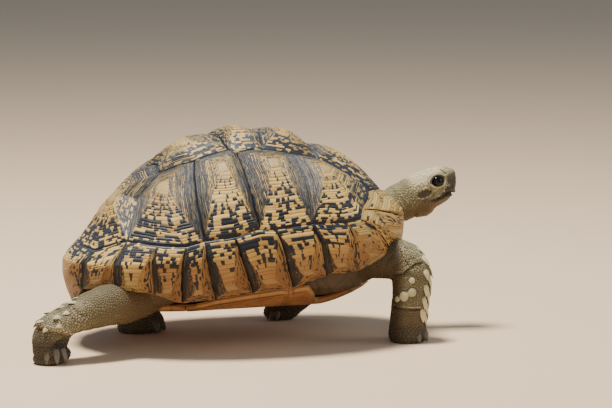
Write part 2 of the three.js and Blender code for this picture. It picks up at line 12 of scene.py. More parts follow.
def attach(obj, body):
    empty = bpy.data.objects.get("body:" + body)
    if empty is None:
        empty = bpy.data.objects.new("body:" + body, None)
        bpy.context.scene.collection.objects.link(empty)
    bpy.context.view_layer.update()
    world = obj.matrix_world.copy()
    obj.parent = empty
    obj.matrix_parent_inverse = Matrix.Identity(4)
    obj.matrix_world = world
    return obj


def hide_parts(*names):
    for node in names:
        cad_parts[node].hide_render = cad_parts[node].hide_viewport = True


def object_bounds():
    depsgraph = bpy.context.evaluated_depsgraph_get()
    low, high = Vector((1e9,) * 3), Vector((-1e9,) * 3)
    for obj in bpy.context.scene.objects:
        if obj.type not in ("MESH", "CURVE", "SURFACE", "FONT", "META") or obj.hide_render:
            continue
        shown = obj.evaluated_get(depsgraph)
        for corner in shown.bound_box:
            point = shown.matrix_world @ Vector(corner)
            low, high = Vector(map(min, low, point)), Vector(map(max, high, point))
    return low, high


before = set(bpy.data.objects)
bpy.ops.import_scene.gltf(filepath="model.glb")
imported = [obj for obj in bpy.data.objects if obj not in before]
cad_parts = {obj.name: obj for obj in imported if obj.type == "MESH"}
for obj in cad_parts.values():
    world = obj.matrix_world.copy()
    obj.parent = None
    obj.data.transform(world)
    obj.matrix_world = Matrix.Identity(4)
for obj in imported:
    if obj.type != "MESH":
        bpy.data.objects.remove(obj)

bl_info = {
    "name": "Leopard tortoise",
    "version": (1, 0, 0),
    "blender": (4, 5, 0),
    "location": "View3D > Sidebar > Tortoise",
    "description": "Builds the shell, skin, scales, head and stage of a life-size walking leopard tortoise",
    "category": "Add Mesh",
}

MM = 0.001
CAD_BOX = [list(corner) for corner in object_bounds()]
FRAME_SHIFT = np.array([-3.4, 0.0, 0.0])   # from the frame that the sizes are given in to the part's own
SMOOTH_PLATE, SMOOTH_HORN = 50, 60         # sharpest edges that are shaded smooth, degrees
BAKE_PATCH = 0.0014                        # radius of a scale's patch on its map

# ---- Colours and sizes a user would change -----------------------------------------------------


def colour(name, description, default):
    return FloatVectorProperty(name=name, description=description, default=default, subtype="COLOR",
                               min=0.0, max=1.0, size=3)


def length(name, description, default):
    return FloatProperty(name=name, description=description, default=default, min=0.0,
                         unit="LENGTH", subtype="DISTANCE", precision=5)


class TORTOISE_PG_shell(bpy.types.PropertyGroup):
    """Sizes and colours of the horny plates"""
    cream: colour("Cream horn", "Palest growth rings", (0.92, 0.66, 0.205))
    tan: colour("Tan horn", "Ordinary growth rings", (0.52, 0.305, 0.066))
    # Low on the sides and at the rear this rust is also mixed in as painted warm bounce light from the floor.
    rust: colour("Rust horn", "Warm stained horn low on the sides", (0.36, 0.150, 0.032))
    black: colour("Black horn", "Dark blocks in the growth rings", (0.006, 0.006, 0.008))
    # On horn that faces up this colour is partly weathering and partly a painted bluish reflection of the
    # sky.
    slate_and_sky_sheen: colour("Slate horn", "Weathered dark horn on top of the shell", (0.058, 0.076, 0.104))
    areola: colour("Areola", "Oldest horn in the middle of each plate", (0.30, 0.225, 0.115))
    groove: length("Growth groove", "Depth of the grooves between growth rings", 0.00042)
    seam: length("Seam groove", "Depth of the seam between two plates", 0.0009)


class TORTOISE_PG_skin(bpy.types.PropertyGroup):
    """Sizes and colours of the skin and its scales"""
    olive: colour("Olive skin", "Ground colour of the skin", (0.195, 0.162, 0.070))
    # In the pocket behind the right foreleg and on the rear of that leg this brown is partly painted shade.
    brown: colour("Brown skin", "Folds, throat and limb pockets", (0.125, 0.060, 0.022))
    cream: colour("Cream scales", "Large pale scales and lids", (0.60, 0.52, 0.30))
    # Besides the skin's own dark, this colour is used as painted shade round the eyes, in the mouth and brow
    # groove, in fold valleys, behind the right foreleg, under the right ankle fold, on the feet and at the
    # edges of the scales.
    dark: colour("Dark skin", "Skin between scales and round the soles", (0.034, 0.027, 0.017))
    voxel: length("Skin cell", "Edge of the cells the skin is remeshed to", 0.00145)


class TORTOISE_PG_stage(bpy.types.PropertyGroup):
    """Floor and light"""
    floor: colour("Floor", "Plain pale floor", (0.82, 0.60, 0.39))
    key: FloatProperty(name="Key light", description="Strength of the soft light overhead", default=112.0,
                       min=0.0, unit="POWER")


# ---- Making and naming objects -----------------------------------------------------------------


def only(obj):
    """Selects one object alone and makes it the active one."""
    for item in bpy.context.selected_objects:
        item.select_set(False)
    obj.select_set(True)
    bpy.context.view_layer.objects.active = obj


def read(items, name, width=1, kind=np.int64):
    """One value, or a row of them, of each point, edge, corner or face of a mesh."""
    flat = np.empty(len(items) * width, dtype=kind)
    items.foreach_get(name, flat)
    return flat.reshape(-1, width) if width > 1 else flat


def raw_points(obj):
    return read(obj.data.vertices, "co", 3, float)


def points_of(obj):
    """Points in millimetres of the animal's own frame."""
    return raw_points(obj) / MM - FRAME_SHIFT


def normals_of(obj):
    return read(obj.data.vertices, "normal", 3, np.float32).astype(float)


def corners_of(obj):
    """The point at each face corner."""
    return read(obj.data.loops, "vertex_index")


def move_points(obj, points):
    """Puts a mesh's points at places given in millimetres."""
    places = np.ascontiguousarray((points + FRAME_SHIFT) * MM, dtype=np.float32)
    obj.data.vertices.foreach_set("co", places.ravel())
    obj.data.update()


def point_values(obj, name, values):
    values = np.asarray(values, dtype=np.float32)
    kind = "FLOAT" if values.ndim == 1 else "FLOAT_VECTOR"
    layer = obj.data.attributes.new(name, kind, "POINT")
    layer.data.foreach_set("value" if values.ndim == 1 else "vector", values.ravel())


def finish_piece(obj, name, material, slot, *nodes):
    obj.name = name
    obj.data.name = name
    obj.data.materials.clear()
    obj.data.materials.append(material)
    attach(obj, "root")
    if nodes:
        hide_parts(*nodes)
    return obj


def smooth(obj, degrees=None):
    """Shades an object smooth, or only where its faces meet at less than an angle."""
    only(obj)
    if degrees is None:
        bpy.ops.object.shade_smooth()
    else:
        bpy.ops.object.shade_smooth_by_angle(angle=math.radians(degrees))


def join(parts):
    only(parts[0])
    for part in parts:
        part.select_set(True)
    bpy.ops.object.join()
    return bpy.context.object


def apply_modifier(obj, kind, **settings):
    only(obj)
    modifier = obj.modifiers.new(kind.title(), kind)
    for key, value in settings.items():
        setattr(modifier, key, value)
    bpy.ops.object.modifier_apply(modifier=modifier.name)


def edit(obj, *steps):
    """Runs mesh operators on what is selected in an object."""
    bpy.context.view_layer.objects.active = obj
    bpy.ops.object.mode_set(mode="EDIT")
    for operation, settings in steps:
        operation(**settings)
    bpy.ops.object.mode_set(mode="OBJECT")


def select_points(obj, mask):
    bpy.ops.object.mode_set(mode="OBJECT")
    mesh = obj.data
    mesh.vertices.foreach_set("select", mask)
    mesh.edges.foreach_set("select", mask[read(mesh.edges, "vertices", 2)].all(axis=1))
    starts = read(mesh.polygons, "loop_start")
    mesh.polygons.foreach_set("select", np.logical_and.reduceat(mask[corners_of(obj)], starts))


def unit_sphere(segments, rings):
    bpy.ops.mesh.primitive_uv_sphere_add(segments=segments, ring_count=rings, radius=1.0, location=(0, 0, 0))
    return bpy.context.object


def ring_body(rows):
    """A closed body from rings of points in millimetres: a sphere's rings moved to theirs.
    The first and the last are poles. Also gives the ring and the column of each point."""
    ring_count, columns = rows.shape[:2]
    obj = unit_sphere(columns, ring_count - 1)
    place = raw_points(obj)
    ring = np.rint(np.arccos(np.clip(place[:, 2], -1, 1)) / math.pi * (ring_count - 1)).astype(int)
    column = np.rint(np.arctan2(place[:, 1], place[:, 0]) / (2 * math.pi) * columns).astype(int) % columns
    column[(ring == 0) | (ring == ring_count - 1)] = 0
    move_points(obj, rows[ring, column])
    return obj, ring, column


def growth_map(obj, ring, column, columns, blocks, growth):
    """Maps a plate for its markings: blocks round the plate one way, growth rings the other."""
    corner = corners_of(obj)
    total = read(obj.data.polygons, "loop_total")
    face = np.repeat(np.arange(len(total)), total)
    turn = column[corner].astype(float)
    highest = np.zeros(len(total))
    np.maximum.at(highest, face, turn)
    turn[(highest[face] > columns * 0.75) & (turn < columns * 0.25)] += columns   # faces that close the ring
    while obj.data.uv_layers:
        obj.data.uv_layers.remove(obj.data.uv_layers[0])
    layer = obj.data.uv_layers.new(name="Growth")
    place = np.stack([turn / columns * blocks, growth[ring[corner]]], axis=-1)
    layer.data.foreach_set("uv", place.astype(np.float32).ravel())


def bake_map(obj, root, turn, share):
    """Names the map OFBake and makes each scale a small patch round its root's place."""
    patch = np.stack([np.cos(turn), np.sin(turn)], axis=-1) * (share * BAKE_PATCH)[:, None]
    layer = obj.data.uv_layers[0]
    layer.name = "OFBake"
    layer.data.foreach_set("uv", (root + patch)[corners_of(obj)].astype(np.float32).ravel())


# ---- Smooth random fields ------------------------------------------------------------------------


def field(points, seed):
    """Smooth noise from -1 to 1 over space, the same on every run."""
    cell = np.floor(points).astype(np.int64)
    share = points - cell
    share = share * share * (3 - 2 * share)
    total = np.zeros(points.shape[:-1])
    for corner in range(8):
        step = np.array([corner & 1, corner >> 1 & 1, corner >> 2 & 1])
        key = cell + step
        value = (key[..., 0] * 73856093) ^ (key[..., 1] * 19349663) ^ (key[..., 2] * 83492791) ^ (seed * 7919)
        value &= 0xFFFFFFFF
        value = ((value ^ (value >> 15)) * 0x2C1B3C6D) & 0xFFFFFFFF
        value = ((value ^ (value >> 12)) * 0x297A2D39) & 0xFFFFFFFF
        value ^= value >> 15
        weight = np.prod(np.where(step, share, 1 - share), axis=-1)
        total += weight * (value / 0x7FFFFFFF - 1)
    return total


def vector_field(points, seed):
    return np.stack([field(points, seed), field(points, seed + 1), field(points, seed + 2)], axis=-1)


def ease(value, low, high):
    share = np.clip((value - low) / (high - low), 0, 1)
    return share * share * (3 - 2 * share)


# ---- Dome of the carapace, in millimetres --------------------------------------------------------

DOME_CENTRE = np.array([5.0, 0.0, 101.5])
SHELL_PITCH = math.radians(5.4)
PITCH_PIVOT = np.array([0.0, 0.0, 100.0])
DOME_FRONT, DOME_REAR, DOME_SIDE, DOME_TOP = 164.0, 169.0, 122.0, 107.0
PLAN_POWER_FRONT, PLAN_POWER_REAR = 2.05, 2.2
SLOPE_POWER_FRONT, SLOPE_POWER_REAR, SLOPE_POWER_SIDE = 1.47, 1.17, 1.78
SIDE_BLEND_FRONT, SIDE_BLEND_REAR = 2.8, 2.2
REAR_SWELL, BRIDGE_TUCK = 0.12, 0.3
FLARE_FRONT, FLARE_REAR = 5.0, 8.0
FLARE_HEIGHT_FRONT, FLARE_HEIGHT_REAR = 0.0, -7.0
FLARE_WIDTH_FRONT, FLARE_WIDTH_REAR = 9.0, 13.0
PLATE_THICKNESS, RIM_THICKNESS = 6.0, 14.0
PLATE_GAP = 0.12


def plan_radius(azimuth):
    along = np.cos(azimuth)
    reach = np.where(along > 0, DOME_FRONT, DOME_REAR)
    power = np.where(along > 0, PLAN_POWER_FRONT, PLAN_POWER_REAR)
    total = (np.abs(along) / reach) ** power + (np.abs(np.sin(azimuth)) / DOME_SIDE) ** power
    return total ** (-1 / power)


def slope_power(azimuth):
    front = np.cos(azimuth) > 0
    blend = np.abs(np.sin(azimuth)) ** np.where(front, SIDE_BLEND_FRONT, SIDE_BLEND_REAR)
    end = np.where(front, SLOPE_POWER_FRONT, SLOPE_POWER_REAR)
    return end + (SLOPE_POWER_SIDE - end) * blend


def dome_radius(azimuth, height):
    along = np.cos(azimuth)
    front = along > 0
    from_flare = np.degrees(height) - np.where(front, FLARE_HEIGHT_FRONT, FLARE_HEIGHT_REAR)
    width = np.where(front, FLARE_WIDTH_FRONT, FLARE_WIDTH_REAR)
    flare = np.where(front, FLARE_FRONT, FLARE_REAR) * along ** 2 * np.exp(-(from_flare / width) ** 2)
    plan = plan_radius(azimuth)
    tuck = BRIDGE_TUCK * np.sin(azimuth) ** 2 * np.sin(-height)
    low = plan / np.maximum(np.cos(height), 0.3) * (1 - tuck)
    power = slope_power(azimuth)
    total = (np.maximum(np.cos(height), 1e-9) / plan) ** power
    total = total + (np.abs(np.sin(height)) / DOME_TOP) ** power
    swell = np.where(front, 0.0, REAR_SWELL * along ** 2 * np.sin(2 * height) ** 2)
    return np.where(height < 0, low, total ** (-1 / power) * (1 + swell)) + flare


def unit(vectors):
    return vectors / np.linalg.norm(vectors, axis=-1, keepdims=True)


def angles_of(direction):
    steady = unit(direction)
    return np.arctan2(steady[..., 1], steady[..., 0]), np.arcsin(np.clip(steady[..., 2], -1, 1))


def direction_of(corner, side=1):
    turn = math.radians(corner[0]) * side
    lift = math.radians(corner[1])
    return np.array([math.cos(lift) * math.cos(turn), math.cos(lift) * math.sin(turn), math.sin(lift)])


def stand(points):
    """From the dome's own level frame to the standing animal."""
    level = points + DOME_CENTRE - PITCH_PIVOT
    cosine, sine = math.cos(SHELL_PITCH), math.sin(SHELL_PITCH)
    turned = np.stack([level[..., 0] * cosine - level[..., 2] * sine, level[..., 1],
                       level[..., 0] * sine + level[..., 2] * cosine], axis=-1)
    return turned + PITCH_PIVOT


def on_dome(direction, offset):
    azimuth, height = angles_of(direction)
    radius = dome_radius(azimuth, height) + offset
    return stand(unit(direction) * radius[..., None])


# ---- Seam corners of the carapace: azimuth from the head and height above the centre, degrees ----

V1_FRONT = (0, 9.5)
V1_C1_FRONT = (24, 15)
V1_V2 = (0, 51)
V1_V2_C1 = (31, 40.5)
V2_C1_C2 = (49, 49.5)
V2_V3_C2 = (73.5, 58.5)
V2_V3 = (0, 74.7)
V3_C2_C3 = (101, 59)
V3_V4_C3 = (109.5, 61.5)
V3_V4 = (180, 82)
V4_C3_C4 = (138, 51.5)
V4_V5_C4 = (161, 41.5)
V4_V5 = (180, 46.5)
V5_C4 = (163.5, 26.5)
C2_C3_RIM = (96, 11.3)
MARGINAL_TOP = [V1_FRONT, (40, 10.2), (45, 6.5), (53, 6.8), (70.3, 9.9), (88.5, 10.1), (108, 9),
                (120.6, 8.1), (128.6, 6.1), (139.7, 7), (153.5, 8.3), (167.3, 4.3), (180, 4.3)]
RIM = [(0, 2.4), (14.5, 0.5), (29, -8.9), (47.8, -14.7), (63.6, -15.2), (80.6, -19.5), (101.8, -19),
       (119.2, -18.1), (132.2, -16.3), (141.2, -10.7), (154.9, -7.2), (169, -8), (180, -16)]
M2_TIP = (18, -9.3)

# Each side of a plate is one sector of its growth: its kind is a letter of SECTORS.
# Share of dark blocks, share of the ring pattern that is weathered dark stripes, warmth.
SECTORS = {
    "B": (0.42, 0.05, 0.25),   # cream rings broken by dark blocks
    "b": (0.52, 0.15, 0.35),   # the same, darker
    "M": (0.50, 0.62, 0.10),   # mixed
    "D": (0.48, 0.90, 0.05),   # dark weathered stripes with thin cream lines
    "K": (0.97, 0.60, 0.30),   # nearly black band along a seam
    "Y": (0.30, 0.25, 0.55),   # warm stripes
    "P": (0.17, 0.34, 0.30),   # pale horn with few blocks
    "R": (0.32, 0.20, 0.85),   # plain rust horn
}

# Corners, then one letter per side, from the corner of the same number to the next.
VERTEBRALS = [
    {"chain": [V1_FRONT, V1_C1_FRONT, V1_V2_C1, V1_V2], "kinds": "MbD", "centre": (0, 33), "boss": 9},
    {"chain": [V1_V2, V1_V2_C1, V2_C1_C2, V2_V3_C2, V2_V3], "kinds": "MMbM", "centre": (0, 61), "boss": 9},
    {"chain": [V2_V3, V2_V3_C2, V3_C2_C3, V3_V4_C3, V3_V4], "kinds": "MbbM", "centre": (0, 87), "boss": 4},
    {"chain": [V3_V4, V3_V4_C3, V4_C3_C4, V4_V5_C4, V4_V5], "kinds": "MbMM", "centre": (180, 63), "boss": 8},
    {"chain": [V4_V5, V4_V5_C4, V5_C4, MARGINAL_TOP[10], MARGINAL_TOP[11], MARGINAL_TOP[12]],
     "kinds": "DDbbb", "centre": (180, 25), "boss": 10},
]
COSTALS = [
    {"loop": [V1_C1_FRONT, MARGINAL_TOP[1], MARGINAL_TOP[2], MARGINAL_TOP[3], MARGINAL_TOP[4],
              V2_C1_C2, V1_V2_C1], "kinds": "MBBBDDM", "centre": (42, 34)},
    {"loop": [V2_C1_C2, MARGINAL_TOP[4], MARGINAL_TOP[5], C2_C3_RIM, V3_C2_C3, V2_V3_C2],
     "kinds": "DBBDDD", "centre": (75, 46)},
    {"loop": [V3_C2_C3, C2_C3_RIM, MARGINAL_TOP[6], MARGINAL_TOP[7], V4_C3_C4, V3_V4_C3],
     "kinds": "DBBDDD", "centre": (113, 47)},
    {"loop": [V4_C3_C4, MARGINAL_TOP[7], MARGINAL_TOP[8], MARGINAL_TOP[9], MARGINAL_TOP[10],
              V5_C4, V4_V5_C4], "kinds": "DBbbDDD", "centre": (148, 34)},
]
COSTAL_BOSS = 5.0
MARGINAL_COUNT = 11
MARGINAL_BOSS, SUPRACAUDAL_BOSS = 2.0, 5.0

RING_SHARES = np.array([0.0, 0.16, 0.5, 0.84])   # rows inside one growth ring
RING_HEIGHTS = (-1.0, -0.1, 0.32, 0.0)           # their heights, in groove depths
AREOLA_ROWS = (0.0, 0.25, 0.5, 0.75, 0.92)       # rows inside the areola, as shares of it
SEAM_DIP = -0.4                                  # height of the last row, in groove depths
PLATE_SINK, SHOULDER_DROP = 0.35, 1.6            # surface under the dome, and rolled edge under the surface
INSIDE_LIFT = 0.4                                # how far a plate's inside stays off the trunk's solid
FEWEST_ON_SIDE = 4                               # points on the shortest side of a plate
BLOCK_UNIT = 4.0                         # millimetres of rim to one unit of the growth map
SEAM_WANDER, RING_WANDER = 0.0045, 0.010


def walk_round(corners, spans, step, fewest):
    """Points a step apart along the sides of a plate, and how many lie on each side."""
    counts = [max(fewest, int(round(span / step))) for span in spans]
    sides = zip(corners, np.roll(corners, -1, axis=0), counts)
    return np.concatenate([start + (end - start) * (np.arange(count) / count)[:, None]
                           for start, end, count in sides]), counts


def plate_edge(corners, kinds, step):
    """Directions round a plate, a step in millimetres apart, and their sectors' blended values."""
    on_shell = on_dome(corners, np.zeros(len(corners)))
    spans = np.linalg.norm(on_shell - np.roll(on_shell, -1, axis=0), axis=1)
    edge, counts = walk_round(corners, spans, step, FEWEST_ON_SIDE)
    values = np.repeat([SECTORS[kind] for kind in kinds], counts, axis=0)
    return edge, (np.roll(values, 1, axis=0) + values * 2 + np.roll(values, -1, axis=0)) / 4


def growth_rings(count, areola, generator):
    """Ring borders from the areola to the seam; the last rings of a grown animal are narrow."""
    widths = generator.uniform(0.65, 1.35, count)
    narrowing = np.linspace(1, 0, count) ** 0.5
    widths *= 0.45 + 0.55 * narrowing
    borders = np.concatenate([[0], np.cumsum(widths)])
    return areola + (1 - areola) * borders / borders[-1]


def ring_rows(borders, first_rows, height_share=1.0):
    """Reach, height and place in the growth of a plate's rows: the areola's, then those of each ring."""
    width = np.diff(borders)[:, None]
    reach = (borders[:-1, None] + width * RING_SHARES).ravel()
    heights = np.tile(RING_HEIGHTS, len(width)) * height_share
    place = (np.arange(len(width))[:, None] + RING_SHARES).ravel()
    first_reach, first_place = np.transpose(first_rows)
    return (np.concatenate([first_reach, reach]), np.concatenate([np.zeros(len(first_reach)), heights]),
            np.concatenate([first_place, place]))


def turned_outwards(corners, kinds, centre):
    """The corners of a plate in the order that makes its faces look outwards."""
    if sum(np.dot(np.cross(a, b), centre) for a, b in zip(corners, corners[1:] + corners[:1])) < 0:
        return corners[::-1], kinds[::-1][1:] + kinds[::-1][:1]
    return corners, kinds


def plate_grid(edge, centre, reach, start, areola):
    """Directions of every row and column: an oval areola that grows into the plate's own outline."""
    away = edge - centre
    edge = centre + away * (1 - PLATE_GAP / (np.linalg.norm(away, axis=-1, keepdims=True) * DOME_TOP))
    east = unit(np.cross([0, 0, 1.0], centre))
    north = unit(np.cross(centre, east))
    away = edge - centre
    core = east * (away @ east)[:, None] * areola[0] + north * (away @ north)[:, None] * areola[1]
    grown = np.clip((reach - start) / (1 - start), 0, 1)[:, None, None]
    young = np.minimum(reach / start, 1)[:, None, None]
    return centre + core[None] * young * (1 - grown) + away[None] * grown


def carapace_plate(corners, kinds, centre, number, boss, peak, rings, areola, step=2.2):
    """One plate: rings of growth round its areola, rolled over the seam and closed inside.
    The areola's shares are of the plate's width and of its height."""
    shell = bpy.context.scene.tortoise_shell
    groove, seam = shell.groove / MM, shell.seam / MM
    generator = np.random.default_rng(100 + number)
    corners, kinds = turned_outwards(corners, kinds, centre)
    edge, sector = plate_edge(corners, kinds, step)
    start = sum(areola) / 2
    borders = growth_rings(rings, start, generator)
    areola_rows = [(start * share, share - 1) for share in AREOLA_ROWS]
    reach, rise_in_ring, ring_place = ring_rows(borders, areola_rows)
    reach, rise_in_ring = np.append(reach, 1.0), np.append(rise_in_ring, SEAM_DIP)
    ring_place = np.append(ring_place, rings - 0.01)

    grid = plate_grid(edge, centre, reach, start, areola)
    inner = ease(reach, 0.05, 0.6) * (1 - ease(reach, 0.7, 1.0))
    grid = grid + vector_field(grid * 9 + number, 11 + number) * (RING_WANDER * inner)[:, None, None]
    grid = grid + vector_field(grid * 22, 5) * SEAM_WANDER * ease(reach, 0.5, 1.0)[:, None, None]
    rise = boss * (1 - reach ** peak[0]) ** peak[1]
    place = on_dome(grid, np.zeros(grid.shape[:2]))
    ring_of_row = np.clip(ring_place + 1, 0, rings + 1).astype(int)
    depth = groove * generator.uniform(0.55, 1.25, rings + 2)[ring_of_row]
    relief = (rise_in_ring * depth)[:, None] * (0.75 + 0.35 * field(place * 0.09, 31 + number))
    worn = field(place * 0.045, 3) * 0.45 + field(place * 0.16, 4) * 0.18
    worn *= ease(1 - reach, 0.0, 0.2)[:, None]
    roll = seam * ease(reach, 0.955, 1.0) ** 2
    offset = rise[:, None] + relief + worn - PLATE_SINK - roll[:, None]
    outer = on_dome(grid, offset)
    middle = centre + (grid[-1] - centre) * 0.5
    bottom, inside, pole = (on_dome(way, INSIDE_LIFT - plate_depth(way))
                            for way in (grid[-1], middle, centre[None]))
    shoulder = on_dome(grid[-1], offset[-1] - SHOULDER_DROP)
    rows = np.concatenate([outer, shoulder[None], bottom[None], inside[None],
                           np.repeat(pole[None], len(edge), axis=1)])
    rows[0] = outer[0, 0]
    obj, ring, column = ring_body(rows)

    hidden = len(rows) - len(reach)
    growth = np.concatenate([ring_place, np.full(hidden, rings - 0.01)]) + 40 * number
    perimeter = np.linalg.norm(np.roll(outer[-2], -1, axis=0) - outer[-2], axis=-1).sum()
    growth_map(obj, ring, column, len(edge), round(perimeter / BLOCK_UNIT), growth)
    point_values(obj, "sector", sector[column])
    core = np.concatenate([1 - ease(ring_place, -0.35, 0.2), np.zeros(hidden)])
    point_values(obj, "areola", core[ring])
    point_values(obj, "age", np.concatenate([reach, np.ones(hidden)])[ring])
    smooth(obj, SMOOTH_PLATE)
    return obj


def line_height(line, azimuth):
    turn = np.degrees(np.abs(azimuth))
    return np.radians(np.interp(turn, [point[0] for point in line], [point[1] for point in line]))


def plate_depth(direction):
    azimuth, height = angles_of(direction)
    top, rim = line_height(MARGINAL_TOP, azimuth), line_height(RIM, azimuth)
    share = np.clip((top - height) / np.maximum(top - rim, 1e-3), 0, 1)
    return PLATE_THICKNESS + (RIM_THICKNESS - PLATE_THICKNESS) * share


def mirrored(chain, kinds):
    right = [direction_of(corner, -1) for corner in chain]
    left = [direction_of(corner, 1) for corner in chain[1:-1]][::-1]
    return right + left, kinds + kinds[::-1]


def marginal_corners(index):
    """Corners of a rim plate and the kinds of its top, rear, bottom and front sides."""
    between_top, between_rim = {1: [V1_C1_FRONT], 6: [C2_C3_RIM]}, {2: [M2_TIP]}
    upper = [MARGINAL_TOP[index - 1], *between_top.get(index, []), MARGINAL_TOP[index]]
    lower = [RIM[index], *between_rim.get(index, []), RIM[index - 1]]
    top, rear = ("P", "Y") if index < 4 else ("B", "K")
    bottom = "R" if 4 <= index <= 8 else "P"
    return upper + lower, top * (len(upper) - 1) + rear + bottom * (len(lower) - 1) + "Y"


# ---- Materials -----------------------------------------------------------------------------------


class Value:
    """A shader value that plain arithmetic strings together."""

    def __init__(self, finish, socket):
        self.finish, self.socket = finish, socket

    def __add__(self, other):
        return self.finish.math("ADD", self, other)

    def __radd__(self, other):
        return self.finish.math("ADD", other, self)

    def __sub__(self, other):
        return self.finish.math("SUBTRACT", self, other)

    def __rsub__(self, other):
        return self.finish.math("SUBTRACT", other, self)

    def __mul__(self, other):
        return self.finish.math("MULTIPLY", self, other)

    def __abs__(self):
        return self.finish.math("ABSOLUTE", self)


class Finish:
    """A material whose nodes are made by plain calls."""

    def __init__(self, name):
        self.material = bpy.data.materials.new(name)
        self.material.use_nodes = True
        self.tree = self.material.node_tree
        self.shader = self.tree.nodes["Principled BSDF"]

    def node(self, kind, inputs=(), output=0, **settings):
        """Makes a node, feeds its inputs by name or number and gives one of its outputs as a value."""
        made = self.tree.nodes.new(kind)
        for key, value in settings.items():
            setattr(made, key, value)
        for key, value in dict(inputs).items():
            self.feed(made.inputs[key], value)
        return Value(self, made.outputs[output])

    def feed(self, socket, value):
        if isinstance(value, Value):
            self.tree.links.new(value.socket, socket)
        elif value is not None:
            socket.default_value = value

    def math(self, operation, *values, clamp=False):
        return self.node("ShaderNodeMath", enumerate(values), operation=operation, use_clamp=clamp)

    def product(self, first, second):
        """First times second, held between 0 and 1."""
        return self.math("MULTIPLY", first, second, clamp=True)

    def step(self, value, low, high):
        return self.node("ShaderNodeMapRange", {"Value": value, "From Min": low, "From Max": high},
                         interpolation_type="SMOOTHSTEP")

    def mix(self, share, first, second):
        first, second = ((*shade, 1.0) if isinstance(shade, tuple) else shade for shade in (first, second))
        return self.node("ShaderNodeMix", {"Factor": share, 6: first, 7: second}, 2, data_type="RGBA")

    def vector(self, x, y, z=0.0):
        return self.node("ShaderNodeCombineXYZ", enumerate((x, y, z)))

    def split(self, vector):
        separate = self.node("ShaderNodeSeparateXYZ", {0: vector}).socket.node
        return [Value(self, output) for output in separate.outputs]

    def attribute(self, name, output="Fac"):
        return self.node("ShaderNodeAttribute", output=output, attribute_name=name)

    def growth(self):
        """Place across and along the growth rings of a plate."""
        return self.split(self.node("ShaderNodeUVMap", uv_map="Growth"))[:2]

    def object_place(self):
        return self.node("ShaderNodeTexCoord", output="Object")

    def noise(self, vector, scale=1.0, detail=2.0, roughness=0.5):
        return self.node("ShaderNodeTexNoise", {"Vector": vector, "Scale": scale, "Detail": detail,
                                                "Roughness": roughness}, noise_dimensions="3D")

    def chance(self, value):
        return self.node("ShaderNodeTexWhiteNoise", {"W": value}, noise_dimensions="1D")

    def bump(self, height, distance, normal=None):
        return self.node("ShaderNodeBump", {"Height": height, "Distance": distance, "Strength": 1.0,
                                            "Normal": normal})

    def done(self, base, roughness, normal=None, **constants):
        inputs = {"Base Color": base, "Roughness": roughness, "Normal": normal}
        inputs.update({key.replace("_", " "): value for key, value in constants.items()})
        for key, value in inputs.items():
            self.feed(self.shader.inputs[key], value)
        return self.material


# Dark warm horn low on the sides: partly stain and partly painted shade.
STAIN_AND_SHADE_HORN = (0.17, 0.075, 0.020)
BELLY_TAN, BELLY_RUST, BELLY_LINE = (0.37, 0.180, 0.056), (0.22, 0.083, 0.022), (0.060, 0.034, 0.018)
IRIS_DARK, IRIS_PALE = (0.004, 0.003, 0.002), (0.012, 0.007, 0.004)
PUPIL, EYE_WHITE = (0.003, 0.003, 0.003), (0.012, 0.009, 0.007)
CLAW_DARK, CLAW_PALE = (0.060, 0.050, 0.037), (0.19, 0.165, 0.13)
BEAK_DARK, BEAK_PALE = (0.026, 0.019, 0.010), (0.080, 0.058, 0.030)


def block_share(f, across, along, ring, part, blocks, age, luck):
    """1 inside the dark blocks, which sway from ring to ring."""
    sway = (f.noise(f.vector(across * 1.6, along * 2.2, 5.0)) - 0.5) * 0.5
    columns = f.noise(f.vector((across + sway) * 0.50, ring * 0.30), detail=0.0)
    blots = f.noise(f.vector((across + sway) * 0.52, ring * 1.05, 7.0), detail=0.0)
    runs = columns * 0.38 + blots * 0.62 + (luck - 0.5) * 0.14
    border = 0.69 - blocks * 0.48 * (0.34 + age * 0.84) + abs(part - 0.5) * 0.035
    return f.step(runs, border, border + 0.018)


def stripe_share(f, across, ring, part, age, young, other_luck):
    """1 in weathered dark horn, 0 in the thin pale lines that run along its rings."""
    width = 0.19 + young * 0.20
    thin = f.step(abs(part - 0.5), width, width - 0.11)
    broken = f.step(f.noise(f.vector(across * 0.35, ring * 2.3, 3.0), detail=1.0), 0.38, 0.50)
    group = f.step(f.noise(f.vector(across * 0.10, ring * 0.46, 9.0), detail=0.0), 0.44, 0.56)
    kept = (0.12 + f.math("MAXIMUM", group, young) * 0.88) * (1.0 - f.step(age, 0.78, 0.95) * 0.7)
    return 1.0 - (0.35 + f.step(other_luck, 0.25, 0.5) * 0.65) * thin * (broken * kept)


